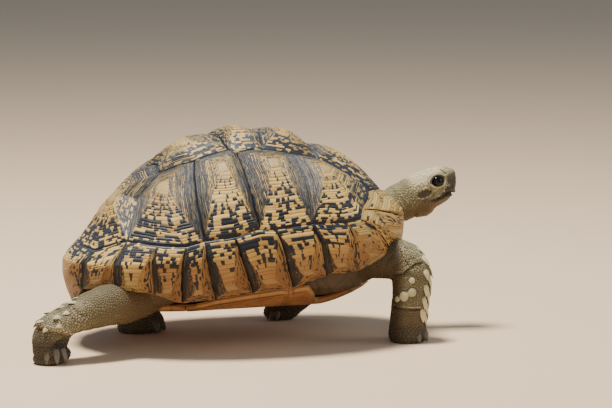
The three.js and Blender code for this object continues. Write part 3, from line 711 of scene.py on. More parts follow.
def horn_finish():
    """Growth rings of the shell: cream and tan bands, dark blocks and weathered stripes, with painted sky
    sheen on dark horn that faces up and painted warm shade low on the sides.
    """
    if "shell_horn" in bpy.data.materials:
        return bpy.data.materials["shell_horn"]
    shell = bpy.context.scene.tortoise_shell
    cream, tan, rust = tuple(shell.cream), tuple(shell.tan), tuple(shell.rust)
    black, slate_and_sky_sheen, areola = tuple(shell.black), tuple(shell.slate_and_sky_sheen), tuple(shell.areola)
    f = Finish("shell_horn")
    across, along = f.growth()
    place = f.object_place()
    blocks, stripes, warmth = f.split(f.attribute("sector", "Vector"))
    core, age = f.attribute("areola"), f.attribute("age")
    band = along + (f.noise(f.vector(across * 2.2, along)) - 0.5) * 0.26
    ring, part = f.math("FLOOR", band), f.math("FRACT", band)
    luck, other_luck = f.chance(ring * 1.37), f.chance(ring * 2.11 + 91.0)
    young = f.step(age, 0.68, 0.34)

    block = block_share(f, across, along, ring, part, blocks, age, luck)
    stripe = stripe_share(f, across, ring, part, age, young, other_luck)
    dark = block * (1.0 - stripes) + stripe * stripes
    edge_line = f.step(part, 0.13, 0.02) + f.step(part, 0.93, 1.0)
    edge_line = edge_line * (0.35 + f.step(other_luck, 0.3, 0.8) * 0.65)
    dark = f.math("MAXIMUM", dark, edge_line * 0.92, clamp=True)
    thread = f.noise(f.vector(across * 9.0, along * 0.8), detail=3.0)
    dark = dark + f.step(thread, 0.62, 0.76) * 0.25
    dark = f.math("MINIMUM", dark, 1.0) * (1.0 - core)

    mottle = f.noise(place, 90.0, 4.0, 0.6)
    light = f.mix(f.step(luck * 0.6 + mottle * 0.8, 0.35, 1.05), cream, tan)
    light = f.mix(young * 0.5, light, f.mix(mottle, areola, tan))
    skyward = f.split(f.node("ShaderNodeNewGeometry", output="Normal"))[2]
    lengthwise, _, level = f.split(place)
    # Painted warm bounce and painted shade: horn that lies low and faces down, along the sides and at the
    # rear, is mixed towards rust and towards the stain-and-shade colour.
    belt = f.step(abs(lengthwise), 0.145, 0.105) + f.step(lengthwise, -0.138, -0.155)
    low = f.step(level, 0.145, 0.070) * f.step(skyward, 0.70, -0.10) * belt
    rust_and_warm_bounce = f.product(warmth * 0.55 + low * 0.75, 0.50 + f.noise(place, 45.0, 3.0) * 0.8)
    light = f.mix(rust_and_warm_bounce, light, rust)
    # Painted sky sheen: dark horn that faces up is mixed towards the slate colour, a painted bluish
    # reflection of the sky along with some weathering.
    weathered = f.step(skyward, 0.0, 0.95) * (0.25 + f.noise(place, 60.0, 3.0) * 0.9)
    dark_horn_with_sheen = f.mix(f.product(weathered, 0.75), black, slate_and_sky_sheen)
    light = f.mix(f.product(low, 0.50), light, STAIN_AND_SHADE_HORN)
    old = f.mix(f.noise(place, 160.0, 4.0, 0.65) * 0.55, areola, cream)
    old = f.mix(f.product(low, 0.6), old, STAIN_AND_SHADE_HORN)
    nested = f.step(abs(f.math("FRACT", along * 3.0) - 0.5), 0.34, 0.46)
    base = f.mix(core * 0.85, f.mix(dark, light, dark_horn_with_sheen), f.mix(nested * 0.45, old, dark_horn_with_sheen))

    fine = f.bump(f.noise(f.vector(across * 12.0, along * 3.0), 1.0, 4.0, 0.6), 0.00022)
    pits = f.bump(f.noise(place, 700.0, 3.0, 0.6), 0.00010, fine)
    return f.done(base, 0.27 + mottle * 0.24, pits, Specular_IOR_Level=0.34)


def flesh_colours(f, speckle):
    skin = bpy.context.scene.tortoise_skin
    pale, brown, dark = f.split(f.attribute("tone", "Vector"))
    base = f.mix(f.step(pale + speckle, 0.15, 0.85), tuple(skin.olive), tuple(skin.cream))
    base = f.mix(brown * 0.85, base, tuple(skin.brown))
    return f.mix(dark * 0.85, base, tuple(skin.dark))


def skin_finish():
    """Soft skin between the scales"""
    f = Finish("soft_skin")
    place = f.object_place()
    base = flesh_colours(f, (f.noise(place, 260.0, 3.0, 0.6) - 0.62) * 0.9)
    shade = f.noise(place, 900.0)
    dark = tuple(bpy.context.scene.tortoise_skin.dark)
    base = f.mix(f.attribute("gap"), base, dark)
    base = f.mix(f.step(shade, 0.35, 0.65) * 0.35, base, dark)
    wrinkle = f.bump(f.noise(place, 420.0, 4.0, 0.6), 0.0005)
    return f.done(base, 0.55 + shade * 0.2, wrinkle)


def scale_finish():
    """Horny scales: pale crowns and dark edges, the dark edges being painted shade where a scale meets the
    skin
    """
    f = Finish("scale_horn")
    place = f.object_place()
    luck, crown = f.attribute("luck"), f.attribute("crown")
    base = flesh_colours(f, (luck - 0.5) * 0.24 + (f.noise(place, 700.0) - 0.5) * 0.5)
    dark = tuple(bpy.context.scene.tortoise_skin.dark)
    # Painted shade: the rims and undersides of the scales are darkened.
    base = f.mix(f.step(crown, 0.80, 0.15), base, f.mix(0.78, base, dark))
    fine = f.bump(f.noise(place, 1100.0, 3.0, 0.6), 0.00016)
    return f.done(base, 0.50 + luck * 0.2, fine, Specular_IOR_Level=0.35)


def eye_finish():
    """Dark wet eye with a brown iris"""
    f = Finish("wet_eye")
    share = f.attribute("iris")
    grain = f.noise(f.object_place(), 1600.0, 3.0)
    base = f.mix(f.step(share, 0.40, 0.46), PUPIL, f.mix(grain, IRIS_DARK, IRIS_PALE))
    base = f.mix(f.step(share, 0.74, 0.84), base, EYE_WHITE)
    return f.done(base, 0.05 + grain * 0.03, Coat_Weight=0.6, Coat_Roughness=0.04, Coat_IOR=1.28,
                  Specular_IOR_Level=0.12)


def claw_finish():
    """Grey-brown claw horn"""
    f = Finish("claw_horn_grain")
    grain = f.noise(f.object_place(), 380.0, 3.0, 0.6)
    return f.done(f.mix(grain, CLAW_DARK, CLAW_PALE), 0.35 + grain * 0.2, f.bump(grain, 0.0002))


def beak_finish():
    """Dark olive beak horn"""
    f = Finish("beak_horn_grain")
    grain = f.noise(f.object_place(), 300.0, 4.0, 0.6)
    base = f.mix(f.step(grain, 0.35, 0.7), BEAK_DARK, BEAK_PALE)
    return f.done(base, 0.46 + grain * 0.2, f.bump(grain, 0.0002), Specular_IOR_Level=0.3)


def belly_finish():
    """Brown-orange horn of the plastron and bridge with its growth lines"""
    f = Finish("belly_horn")
    across, along = f.growth()
    place = f.object_place()
    band = along + f.noise(place, 60.0) * 0.6
    luck = f.chance(f.math("FLOOR", band))
    mottle = f.noise(place, 42.0, 4.0, 0.6)
    light = f.mix(f.step(luck * 0.5 + mottle * 0.7, 0.15, 0.85), BELLY_TAN, BELLY_RUST)
    line = f.step(f.math("FRACT", band * 1.5), 0.20, 0.0)
    smear = f.step(f.noise(f.vector(across, along * 0.3), 0.8, 3.0), 0.55, 0.72) * 0.75
    base = f.mix(f.math("MAXIMUM", line * 0.55, smear), light, BELLY_LINE)
    return f.done(base, 0.40 + mottle * 0.25, f.bump(f.noise(place, 500.0, 3.0), 0.00015))


# ---- Operators -----------------------------------------------------------------------------------


SIDES = ((-1, "right"), (1, "left"))
# Growth of each kind of plate: form of its swell, number of rings, areola's share of width and height.
VERTEBRAL_GROWTH = ((1.9, 1.25), 17, (0.17, 0.17))
COSTAL_GROWTH = ((1.9, 1.25), 20, (0.20, 0.14))
MARGINAL_GROWTH = ((1.3, 1.0), 13, (0.34, 0.09), 1.8)
SUPRACAUDAL_GROWTH = ((1.3, 1.0), 12, (0.3, 0.15), 2.0)
MARGINAL_LOW = 0.84           # how far down its height a rim plate's areola lies
# Numbers of the first costal and marginal plate and of the supracaudal; each has its own random growth.
FIRST_COSTAL, FIRST_MARGINAL, SUPRACAUDAL = 6, 15, 37


class TORTOISE_OT_vertebrals(bpy.types.Operator):
    """Five plates along the ridge of the shell"""
    bl_idname = "tortoise.vertebrals"
    bl_label = "Vertebral plates"

    def execute(self, context):
        for index, plate in enumerate(VERTEBRALS):
            corners, kinds = mirrored(plate["chain"], plate["kinds"])
            obj = carapace_plate(corners, kinds, direction_of(plate["centre"]), index + 1, plate["boss"],
                                 *VERTEBRAL_GROWTH)
            name = f"vertebral_{index + 1}"
            finish_piece(obj, name + "_horn", horn_finish(), "carapace_horn", name)
        return {"FINISHED"}


class TORTOISE_OT_costals(bpy.types.Operator):
    """Four large plates on each side of the shell"""
    bl_idname = "tortoise.costals"
    bl_label = "Costal plates"

    def execute(self, context):
        for side, side_name in SIDES:
            for index, plate in enumerate(COSTALS):
                corners = [direction_of(corner, side) for corner in plate["loop"]]
                number = FIRST_COSTAL + index + len(COSTALS) * (side > 0)
                obj = carapace_plate(corners, plate["kinds"], direction_of(plate["centre"], side), number,
                                     COSTAL_BOSS, *COSTAL_GROWTH)
                name = f"costal_{side_name}_{index + 1}"
                finish_piece(obj, name + "_horn", horn_finish(), "carapace_horn", name)
        return {"FINISHED"}


class TORTOISE_OT_marginals(bpy.types.Operator):
    """Eleven rim plates on each side and the plate over the tail"""
    bl_idname = "tortoise.marginals"
    bl_label = "Marginal plates"

    def execute(self, context):
        for side, side_name in SIDES:
            for index in range(1, MARGINAL_COUNT + 1):
                chain, kinds = marginal_corners(index)
                corners = [direction_of(corner, side) for corner in chain]
                top, rim = ((direction_of(line[index - 1], side) + direction_of(line[index], side)) / 2
                            for line in (MARGINAL_TOP, RIM))
                number = FIRST_MARGINAL - 1 + index + MARGINAL_COUNT * (side > 0)
                obj = carapace_plate(corners, kinds, top * (1 - MARGINAL_LOW) + rim * MARGINAL_LOW, number,
                                     MARGINAL_BOSS, *MARGINAL_GROWTH)
                name = f"marginal_{side_name}_{index}"
                finish_piece(obj, name + "_horn", horn_finish(), "rim_horn", name)
        corners, kinds = mirrored([MARGINAL_TOP[12], MARGINAL_TOP[11], RIM[11], RIM[12]], "bbY")
        obj = carapace_plate(corners, kinds, np.mean(corners, axis=0), SUPRACAUDAL, SUPRACAUDAL_BOSS,
                             *SUPRACAUDAL_GROWTH)
        finish_piece(obj, "supracaudal_horn", horn_finish(), "rim_horn", "supracaudal")
        return {"FINISHED"}


# ---- Plastron ------------------------------------------------------------------------------------

# Outline of the right or left half of each plate, x and distance from the midline, millimetres.
PLASTRON = {
    "gular": [(131, 0), (136, 15), (126, 27), (108, 42), (102, 0)],
    "humeral": [(102, 0), (108, 42), (88, 54), (63, 64), (58, 0)],
    "pectoral": [(58, 0), (63, 64), (55, 88), (44, 102), (24, 102), (30, 60), (34, 0)],
    "abdominal": [(34, 0), (30, 60), (24, 102), (-14, 102), (-50, 100), (-64, 88), (-70, 66), (-52, 30),
                  (-48, 0)],
    "femoral": [(-48, 0), (-52, 30), (-70, 66), (-92, 60), (-106, 49), (-92, 0)],
    "anal": [(-92, 0), (-106, 49), (-122, 36), (-130, 18), (-116, 0)],
}
PLASTRON_RINGS, WALL_RINGS = 9, 4
PLASTRON_STEP, PLASTRON_GAP = 2.6, 0.25     # distance of the points along the edge, and the open seam
FEWEST_ON_HALF = 3                          # points on the shortest side of a half plate
PLASTRON_GROOVE = 0.35                      # depth of its growth grooves, millimetres
PLASTRON_LIP = ((0.955, -0.1), (0.975, -0.3), (0.99, -0.6), (1.0, -1.2))   # reach and dip of the last rows
PLASTRON_ROUNDING = (0.2, 0.7, 1.5, 2.4, 3.4)   # lift of the last rows where the edge is free


def free_edge(edge, number):
    """1 where a plate's edge meets no other plate, 0 along the seams."""
    gap = np.full(len(edge), 99.0)
    for index, outline in enumerate(PLASTRON.values()):
        if index == number // 2:
            continue
        for start, end in zip(outline, outline[1:] + outline[:1]):
            start, end = np.array(start, dtype=float), np.array(end, dtype=float)
            folded = np.abs(edge) * [0, 1] + edge * [1, 0]
            share = np.clip((folded - start) @ (end - start) / np.sum((end - start) ** 2), 0, 1)
            gap = np.minimum(gap, np.linalg.norm(folded - start - share[:, None] * (end - start), axis=1))
    return ease(np.minimum(gap, np.abs(edge[:, 1]) + 1), 1.0, 7.0)


def plastron_half(outline, side, number):
    """One half of a plastron plate, grown from its areola and lying on the curve of the underside."""
    generator = np.random.default_rng(300 + number)
    corners = np.array(outline, dtype=float) * [1, side]
    spans = np.linalg.norm(np.roll(corners, -1, axis=0) - corners, axis=1)
    edge, _ = walk_round(corners, spans, PLASTRON_STEP, FEWEST_ON_HALF)
    area = edge[:, 0] * np.roll(edge[:, 1], -1) - np.roll(edge[:, 0], -1) * edge[:, 1]
    if area.sum() > 0:
        edge = edge[::-1]
    centre = edge.mean(axis=0)
    away = edge - centre
    edge = centre + away * (1 - PLASTRON_GAP / np.linalg.norm(away, axis=1, keepdims=True))
    borders = growth_rings(PLASTRON_RINGS, 0.22, generator)
    reach, dip, ring_place = ring_rows(borders, [(0.0, -1.0), (0.08, -0.6), (0.16, -0.2)], PLASTRON_GROOVE)
    last_reach, last_dip = zip(*PLASTRON_LIP)
    reach, dip = np.append(reach, last_reach), np.append(dip, last_dip)
    rounding = np.append(np.zeros(len(reach) - len(PLASTRON_ROUNDING)), PLASTRON_ROUNDING)
    ring_place = np.append(ring_place, [PLASTRON_RINGS - 0.1] * len(PLASTRON_LIP))
    flat = centre + (edge[None] - centre) * reach[:, None, None]
    wander = vector_field(np.concatenate([flat / 26, np.full(flat.shape[:2] + (1,), number)], axis=-1), 81)
    flat = flat + wander[..., :2] * (2.0 * ease(reach, 0.05, 0.5) * (1 - ease(reach, 0.7, 1)))[:, None, None]
    level = plastron_underside(flat[..., 0], flat[..., 1])
    free = free_edge(flat[-1], number)
    lift = 0.45 - dip[:, None] + rounding[:, None] * free[None]
    under = np.concatenate([flat, (level + lift)[..., None]], axis=-1)
    edge, inward = flat[-1], unit(centre - flat[-1])
    rows = list(under)
    growth = list(ring_place)
    for step in range(1, WALL_RINGS * 2 + 1):
        first = 1.9 + 3.2 * free
        drop = first + (PLASTRON_THICKNESS - 0.4 - first) * step / (WALL_RINGS * 2)
        spots = edge + inward * (0.35 if step % 2 else 0.0)
        height = plastron_underside(spots[:, 0], spots[:, 1]) + drop
        rows.append(np.concatenate([spots, height[:, None]], axis=-1))
        growth.append(PLASTRON_RINGS + step / 2)
    for spots in (centre + (edge - centre) * 0.5, np.repeat(centre[None], len(edge), axis=0)):
        height = plastron_underside(spots[:, 0], spots[:, 1]) + PLASTRON_THICKNESS - 0.4
        rows.append(np.concatenate([spots, height[:, None]], axis=-1))
        growth.append(PLASTRON_RINGS + WALL_RINGS)
    obj, ring, column = ring_body(np.array(rows))
    blocks = round(len(edge) * PLASTRON_STEP / BLOCK_UNIT)
    growth_map(obj, ring, column, len(edge), blocks, np.array(growth) + 20 * number)
    return obj


class TORTOISE_OT_plastron(bpy.types.Operator):
    """Twelve plates of the underside, in pairs"""
    bl_idname = "tortoise.plastron"
    bl_label = "Plastron"

    def execute(self, context):
        for number, (name, outline) in enumerate(PLASTRON.items()):
            pair = join([plastron_half(outline, -1, 2 * number), plastron_half(outline, 1, 2 * number + 1)])
            smooth(pair, SMOOTH_PLATE)
            finish_piece(pair, f"plastron_{name}_horn", belly_finish(), "plastron_horn", f"plastron_{name}")
        return {"FINISHED"}


# ---- Body under the shell, in millimetres --------------------------------------------------------

AHEAD, UP = np.array([1.0, 0, 0]), np.array([0, 0, 1.0])

# Stations from the body outwards: x, y, z, half width across the path, half depth.
LIMBS = {
    "front_right": (AHEAD, [(100, -42, 82, 20, 22), (124, -54, 82, 20, 21), (147, -67, 81, 20, 20),
                            (159, -74, 68, 19, 20), (158, -77, 46, 17, 19.5), (156, -77, 24, 17, 19),
                            (155.5, -77, 8, 18, 20), (155.5, -77, 0, 17, 20)]),
    "hind_right": (UP, [(-92, -46, 62, 20, 20), (-126, -62, 52, 20, 20), (-152, -72, 49, 20, 20),
                        (-173, -79, 42.5, 18.5, 19.5), (-194, -84, 35, 17.5, 18), (-210, -86, 26, 17, 17),
                        (-211, -86, 12, 16, 16), (-207, -86, 0, 16, 16.5)]),
    "hind_left": (AHEAD, [(-66, 44, 82, 26, 28), (-78, 54, 60, 23, 25), (-84, 58, 40, 19, 21),
                          (-84, 58, 22, 18, 20), (-82, 58, 8, 20, 24), (-81, 58, 0, 19, 23)]),
    "front_left": (UP, [(108, 46, 82, 20, 22), (122, 62, 66, 19, 19), (118, 72, 48, 17, 18),
                        (102, 78, 34, 16, 16), (84, 82, 20, 16, 14), (72, 83, 7, 15, 10),
                        (68, 83, 0, 13, 6)]),
    "tail": (UP, [(-106, 0, 72, 12, 11), (-124, 1, 65, 10, 9.5), (-136, 4, 56, 7.5, 7.5),
                  (-142, 7, 48, 5, 5), (-144, 9, 41, 2.5, 2.5)]),
    "head": (UP, [(-78, 0, -16, 21, 22), (-58, 0, -9, 20.5, 23.5), (-42, 0, -4, 18, 21),
                  (-28, 0, -1.9, 15.8, 19.8), (-17, 0, -1, 15.9, 20.8), (-8, 0, -0.4, 17.3, 21.8),
                  (2, 0, 0.6, 18.2, 21.5), (11, 0, 1.8, 17.2, 20.4), (19.5, 0, 2.1, 14.8, 18.3),
                  (26, 0, 1.3, 11.9, 16.1), (30.5, 0, 0.5, 9.2, 13.1), (33.6, 0, -0.3, 6.6, 10),
                  (34.8, 0, -0.6, 3.8, 7.4)]),
}
HEAD_AT = np.array([200.0, -6.0, 140.0])
HEAD_PITCH, HEAD_TURN = 19.0, 9.0
HEAD_AXES = np.array((Matrix.Rotation(math.radians(-HEAD_TURN), 3, "Z")
                      @ Matrix.Rotation(math.radians(-HEAD_PITCH), 3, "Y")))
SKIN_INSIDE = 0.965          # the skin's share of the full outline, which the scales fill
PATH_STEP = 2.2
SOCKET_DEPTH, SOCKET_FADE = 16.0, 12.0
TRUNK_CLEARANCE = 2.0
PLASTRON_THICKNESS = 7.5


def plastron_underside(x, y):
    out = np.clip((np.abs(y) - 60) / 42, 0, 1)
    edge = 62.4 + 0.094 * x - PLASTRON_THICKNESS - 0.3
    front = np.clip((x - 70) / 66, 0, 1.2)
    return 39 + (edge - 39) * out ** 1.8 + 12 * front ** 1.3


def trunk_floor(points):
    out = np.clip((np.abs(points[..., 1]) - 60) / 42, 0, 1)
    inside = plastron_underside(points[..., 0], points[..., 1]) + PLASTRON_THICKNESS
    return inside + 0.6 + TRUNK_CLEARANCE * out


def trunk_surface(direction):
    azimuth, height = angles_of(direction)
    rim = line_height(RIM, azimuth)
    radius = dome_radius(azimuth, height) - plate_depth(direction) - TRUNK_CLEARANCE
    below = np.clip((rim - height) / math.radians(SOCKET_FADE), 0, 1)
    across = dome_radius(azimuth, rim) * np.cos(rim) - RIM_THICKNESS - TRUNK_CLEARANCE
    socket = (across - SOCKET_DEPTH * np.cos(azimuth) ** 2 * below) / np.maximum(np.cos(height), 0.05)
    radius = np.where(height < rim, socket, radius)
    outermost = stand(unit(direction) * radius[..., None])
    centre = stand(np.zeros(3))
    inside, outside = np.zeros(radius.shape), np.ones(radius.shape)
    low = outermost[..., 2] < trunk_floor(outermost)
    for _ in range(24):
        half = (inside + outside) / 2
        point = centre + (outermost - centre) * half[..., None]
        above = point[..., 2] >= trunk_floor(point)
        inside, outside = np.where(above, half, inside), np.where(above, outside, half)
    return centre + (outermost - centre) * np.where(low, inside, 1.0)[..., None]


class Tube:
    """A limb as a smooth run of sections along its path."""

    def __init__(self, stations, up, step=PATH_STEP):
        stations = np.array(stations, dtype=float)
        padded = np.vstack([2 * stations[0] - stations[1], stations, 2 * stations[-1] - stations[-2]])
        fine = []
        for index in range(len(stations) - 1):
            a, b, c, d = padded[index:index + 4]
            count = max(2, int(math.ceil(np.linalg.norm(c[:3] - b[:3]) / step)))
            for share in np.arange(count) / count:
                fine.append(0.5 * (2 * b + (c - a) * share + (2 * a - 5 * b + 4 * c - d) * share ** 2
                                   + (3 * b - a - 3 * c + d) * share ** 3))
        fine = np.array(fine + [stations[-1]])
        self.centre, self.size = fine[:, :3], fine[:, 3:5]
        along = np.gradient(self.centre, axis=0)
        self.along = unit(along)
        across, tall = [], []
        for index, direction in enumerate(self.along):
            last = across[-1] if index else np.cross(up, direction)
            sideways = last - np.dot(last, direction) * direction
            sideways = sideways / np.linalg.norm(sideways)
            across.append(sideways)
            tall.append(np.cross(direction, sideways))
        self.across, self.tall = np.array(across), np.array(tall)
        steps = np.linalg.norm(np.diff(self.centre, axis=0), axis=1)
        self.length = np.concatenate([[0], np.cumsum(steps)])

    def turned(self, axes, origin):
        self.centre = self.centre @ axes.T + origin
        self.along, self.across, self.tall = (way @ axes.T for way in (self.along, self.across, self.tall))

    def rows(self, columns, share=1.0):
        turn = -np.arange(columns) / columns * 2 * math.pi
        aside, up = self.size[:, :1] * share * np.cos(turn), self.size[:, 1:] * share * np.sin(turn)
        ring = (self.centre[:, None] + self.across[:, None] * aside[..., None]
                + self.tall[:, None] * up[..., None])
        cap = np.repeat(self.centre[[0, -1], None], columns, axis=1)
        return np.concatenate([cap[:1], ring, cap[1:]])

    def locate(self, points):
        """Length along the path, angle round it and share of the section's size of each point."""
        away = points[:, None] - self.centre[None]
        nearest = np.argmin(np.einsum("ijk,ijk->ij", away, away), axis=1)
        offset = away[np.arange(len(points)), nearest]
        out = np.einsum("ij,ij->i", offset, self.across[nearest])
        rise = np.einsum("ij,ij->i", offset, self.tall[nearest])
        ahead = np.einsum("ij,ij->i", offset, self.along[nearest])
        share = np.hypot(out / self.size[nearest, 0], rise / self.size[nearest, 1])
        beyond = np.where((nearest == 0) | (nearest == len(self.centre) - 1), np.abs(ahead) / 8, 0)
        return self.length[nearest] + ahead, np.arctan2(rise, out), share + beyond


TUBES = {name: Tube(stations, up) for name, (up, stations) in LIMBS.items()}
TUBES["head"].turned(HEAD_AXES, HEAD_AT)
REGIONS = list(LIMBS) + ["trunk"]


def in_chunks(function, points, size=20000):
    parts = [function(points[start:start + size]) for start in range(0, len(points), size)]
    return [np.concatenate(part) for part in zip(*parts)]


def on(region, *names):
    """Which points lie on the named regions of the body."""
    return np.isin(region, [REGIONS.index(name) for name in names])


def whereabouts(points):
    """Region number, length along, angle round and closeness of each point on the body."""
    region = np.full(len(points), REGIONS.index("trunk"))
    along, turn = np.zeros(len(points)), np.zeros(len(points))
    best = np.full(len(points), 1.22)
    for index, tube in enumerate(TUBES.values()):
        length_along, angle, share = in_chunks(tube.locate, points)
        nearer = share < best
        region[nearer], best[nearer] = index, share[nearer]
        along[nearer], turn[nearer] = length_along[nearer], angle[nearer]
    return region, along, turn, best


def head_space(points):
    return (points - HEAD_AT) @ HEAD_AXES


def from_head_space(points):
    return points @ HEAD_AXES.T + HEAD_AT


# ---- Head, in its own frame: x ahead, z up, millimetres ------------------------------------------

EYE_AT = np.array([11.9, 12.1, 6.9])
EYE_RADIUS = 6.3
EYE_AXIS = unit(np.array([0.24, 0.93, 0.20]))
EYE_OPENING = (6.5, 5.05)
UPPER_LIP = [(-4, -8.0), (3, -8.0), (7, -8.3), (12, -7.8), (15, -6.4), (19, -5.7), (22, -5.9), (26, -7.6),
             (28, -9.8), (30, -10.8), (40, -11.0)]
LOWER_LIP = [(-4, -8.4), (0, -10.0), (4, -11.0), (11, -10.9), (15, -11.2), (20, -11.9), (25, -13.2),
             (40, -13.6)]
BEAK_HOOK = 2.6               # how far the tip of the upper beak hangs down
EAR_AT, EAR_SIZE = (-4.6, 0.2), (7.8, 4.4)
NOSTRIL_AT = (31.5, 2.6, 4.2)
BROW_GROOVE = ((20.4, 16.0), (23.6, 11.0))
# How far the front of the snout stands out from an even round, by height, and the throat by length.
SNOUT_PROFILE = [(-19, -2.6), (-15, -3.4), (-12.3, -3.6), (-7.2, -4.6), (-1, -2.8), (6, -1.6), (10, -0.8),
                 (14, -0.8), (19, 0)]
THROAT_PROFILE = [(-32, 0), (-18, 1.2), (-13, 1.6), (-8, 1.8), (-2, 1.0), (2, -1.0), (6, -1.8), (10.5, -1.0),
                  (16, 0), (22, 0.7), (27, 0)]
# Swells and hollows of the cheek and temple: height, x and its spread, z and its spread.
CHEEK_FORMS = [(1.2, -6, 8, 11.0, 3.2), (-1.1, 2.6, 2.0, 0.0, 6.0), (0.8, 8.0, 3.5, -2.5, 3.5)]


def lip_heights(x, y):
    """Heights of the upper and the lower lip at a place along the jaw."""
    upper, lower = along_line(x, UPPER_LIP), along_line(x, LOWER_LIP)
    return upper - BEAK_HOOK * bell(y, 0, 2.4) * ease(x, 24, 29), lower


def eye_place(head):
    """Where points lie from the eye on their own side: ahead, up, outwards, and share of the opening."""
    side = np.where(head[:, 1] < 0, -1.0, 1.0)
    folded = head * np.stack([np.ones_like(side), side, np.ones_like(side)], axis=-1)
    ahead = unit(AHEAD - EYE_AXIS[0] * EYE_AXIS)
    above = np.cross(ahead, EYE_AXIS)
    away = folded - EYE_AT
    u, v, out = away @ ahead, away @ (above if above[2] > 0 else -above), away @ EYE_AXIS
    return u, v, out, np.hypot(u / EYE_OPENING[0], v / EYE_OPENING[1]), side


def bell(value, centre, width):
    return np.exp(-((value - centre) / width) ** 2)


def along_line(value, line):
    return np.interp(value, [point[0] for point in line], [point[1] for point in line])


def groove_gap(x, z):
    """Distance from the groove in front of the brow."""
    (x0, z0), (x1, z1) = BROW_GROOVE
    share = np.clip(((x - x0) * (x1 - x0) + (z - z0) * (z1 - z0)) / ((x1 - x0) ** 2 + (z1 - z0) ** 2), 0, 1)
    return np.hypot(x - x0 - share * (x1 - x0), z - z0 - share * (z1 - z0))


def ear_share(x, z, slant=0.0):
    """Distance from the middle of the ear drum, 1 at its rim."""
    return np.hypot((x - EAR_AT[0] + slant * (z - EAR_AT[1])) / EAR_SIZE[0], (z - EAR_AT[1]) / EAR_SIZE[1])


def nostril_gap(head):
    """Distance from the nearer nostril, in millimetres."""
    x, y, z = head.T
    off_axis = (np.abs(y) - NOSTRIL_AT[1]) ** 2 + (z - NOSTRIL_AT[2]) ** 2
    return np.sqrt((x - NOSTRIL_AT[0]) ** 2 * 0.05 + off_axis)


def shape_head(points, normals):
    """Eye sockets, lids, brow, mouth, ear drums, nostrils and cheeks."""
    head, out = head_space(points), normals @ HEAD_AXES
    x, y, z = head.T
    side = np.abs(y)
    front = ease(x, -14, -4)
    head[:, 0] += along_line(z, SNOUT_PROFILE) * ease(x, 22, 31)
    move = np.zeros(len(head))
    upper, lower = lip_heights(x, y)
    jaw = ease(x, -5, 2)
    gape = ease(z, lower - 0.5, lower + 0.4) * (1 - ease(z, upper - 0.5, upper + 0.3))
    move -= jaw * gape * (1.6 + 4.6 * ease(x, 3, 15)) * (1 - 0.75 * ease(x, 20, 27) * (1 - ease(side, 3, 8)))
    move += jaw * 0.7 * bell(z, upper + 1.5, 1.3)
    chin = (1 - ease(z, lower - 0.5, lower + 0.3)) * ease(z, -26, -13)
    move -= ease(x, 4, 24) * chin * 1.2
    move += jaw * 0.5 * bell(z, lower - 1.5, 1.0)
    move += along_line(x, THROAT_PROFILE) * (1 - ease(z, -19, -12))
    move += 1.7 * bell(z, 14.2, 2.1) * ease(x, 0, 7) * (1 - ease(x, 19, 24)) * ease(side, 6, 11)
    move -= 0.9 * ease(z, 15, 19) * bell(x, 10, 16) * (1 - ease(side, 5, 10))
    move -= 1.2 * bell(z, 2.5, 4.5) * bell(x, 25.5, 4) * ease(side, 4, 8)
    move -= 1.6 * bell(groove_gap(x, z), 0, 1.0) * ease(side, 4, 7)
    ear = ear_share(x, z, 0.15)
    flank = ease(side, 8, 12)
    move += flank * (0.5 * bell(ear, 1.2, 0.16) - (1 - ease(ear, 0.78, 1.02)) + 0.3 * (1 - ease(ear, 0, 0.8)))
    for height, ahead, length_of, level, height_of in CHEEK_FORMS:
        move += flank * height * bell(x, ahead, length_of) * bell(z, level, height_of)
    move -= flank * 0.7 * bell(z - 0.35 * x, 15.0, 1.1) * bell(x, -6, 9)
    nostril = nostril_gap(head)
    move -= ease(x, 24, 28) * (2.4 * bell(nostril, 0, 1.0) - 0.2 * bell(nostril, 2.0, 0.6))
    move += 0.35 * field(head * 0.28, 41) * front
    head = head + out * move[:, None]

    u, v, level, share, turn = eye_place(head)
    near = (level > -3.0) & (share < 3.2) & (side > 4)
    ball = np.sqrt(np.maximum(EYE_RADIUS ** 2 - u ** 2 - v ** 2, 0))
    lid = 4.0 + 0.9 * ease(v, -1, 3) - 0.07 * np.abs(u)
    wanted = level + (lid - level) * np.where(share > 1.17, bell(share, 1.17, 0.38), 1)
    wanted -= 0.75 * bell(share, 1.58, 0.10) * (1 - 0.5 * ease(u, 2, 6))
    wanted -= 0.5 * bell(share, 1.95, 0.11) * (v < 0)
    wanted += 0.35 * bell(share, 1.77, 0.09)
    socket = np.maximum(ball, 0.8) - 0.9
    wanted = wanted + (socket - wanted) * (1 - ease(share, 0.94, 1.06))
    fade = 1 - ease(share, 2.2, 3.0)
    shift = np.where(near, (wanted - level) * fade, 0)
    outward = EYE_AXIS * np.stack([np.ones_like(turn), turn, np.ones_like(turn)], axis=-1)
    return from_head_space(head + outward * shift[:, None])


# ---- Folds of the loose skin ---------------------------------------------------------------------

def creases(first, second, seed, width=0.16):
    """Valley lines where smooth noise passes through zero."""
    value = field(np.stack([first, second, np.full_like(first, seed * 3.7)], axis=-1), seed)
    return np.exp(-(value / width) ** 2)


# Big folds of the right forearm: heading round the leg in degrees and height in millimetres.
FOREARM_FOLDS = [[(-150, 93), (-107, 78.5)],
                 [(-176, 68.5), (-133, 70.5), (-104, 76.5), (-80, 80.5), (-48, 80.5)],
                 [(-176, 37), (-60, 35)]]
FOREARM_CENTRE = (156, -77)
# Lower edge of the loose skin that hangs over the right hind foot: x and height.
ANKLE_FOLD = [(-226, 39), (-197, 31), (-184, 24)]
# Middle of the right hind shank, x and height: the flesh under it is hollowed.
SHANK_MIDDLE = [(-215, 26), (-194, 35), (-173, 42.5), (-152, 49), (-126, 52)]


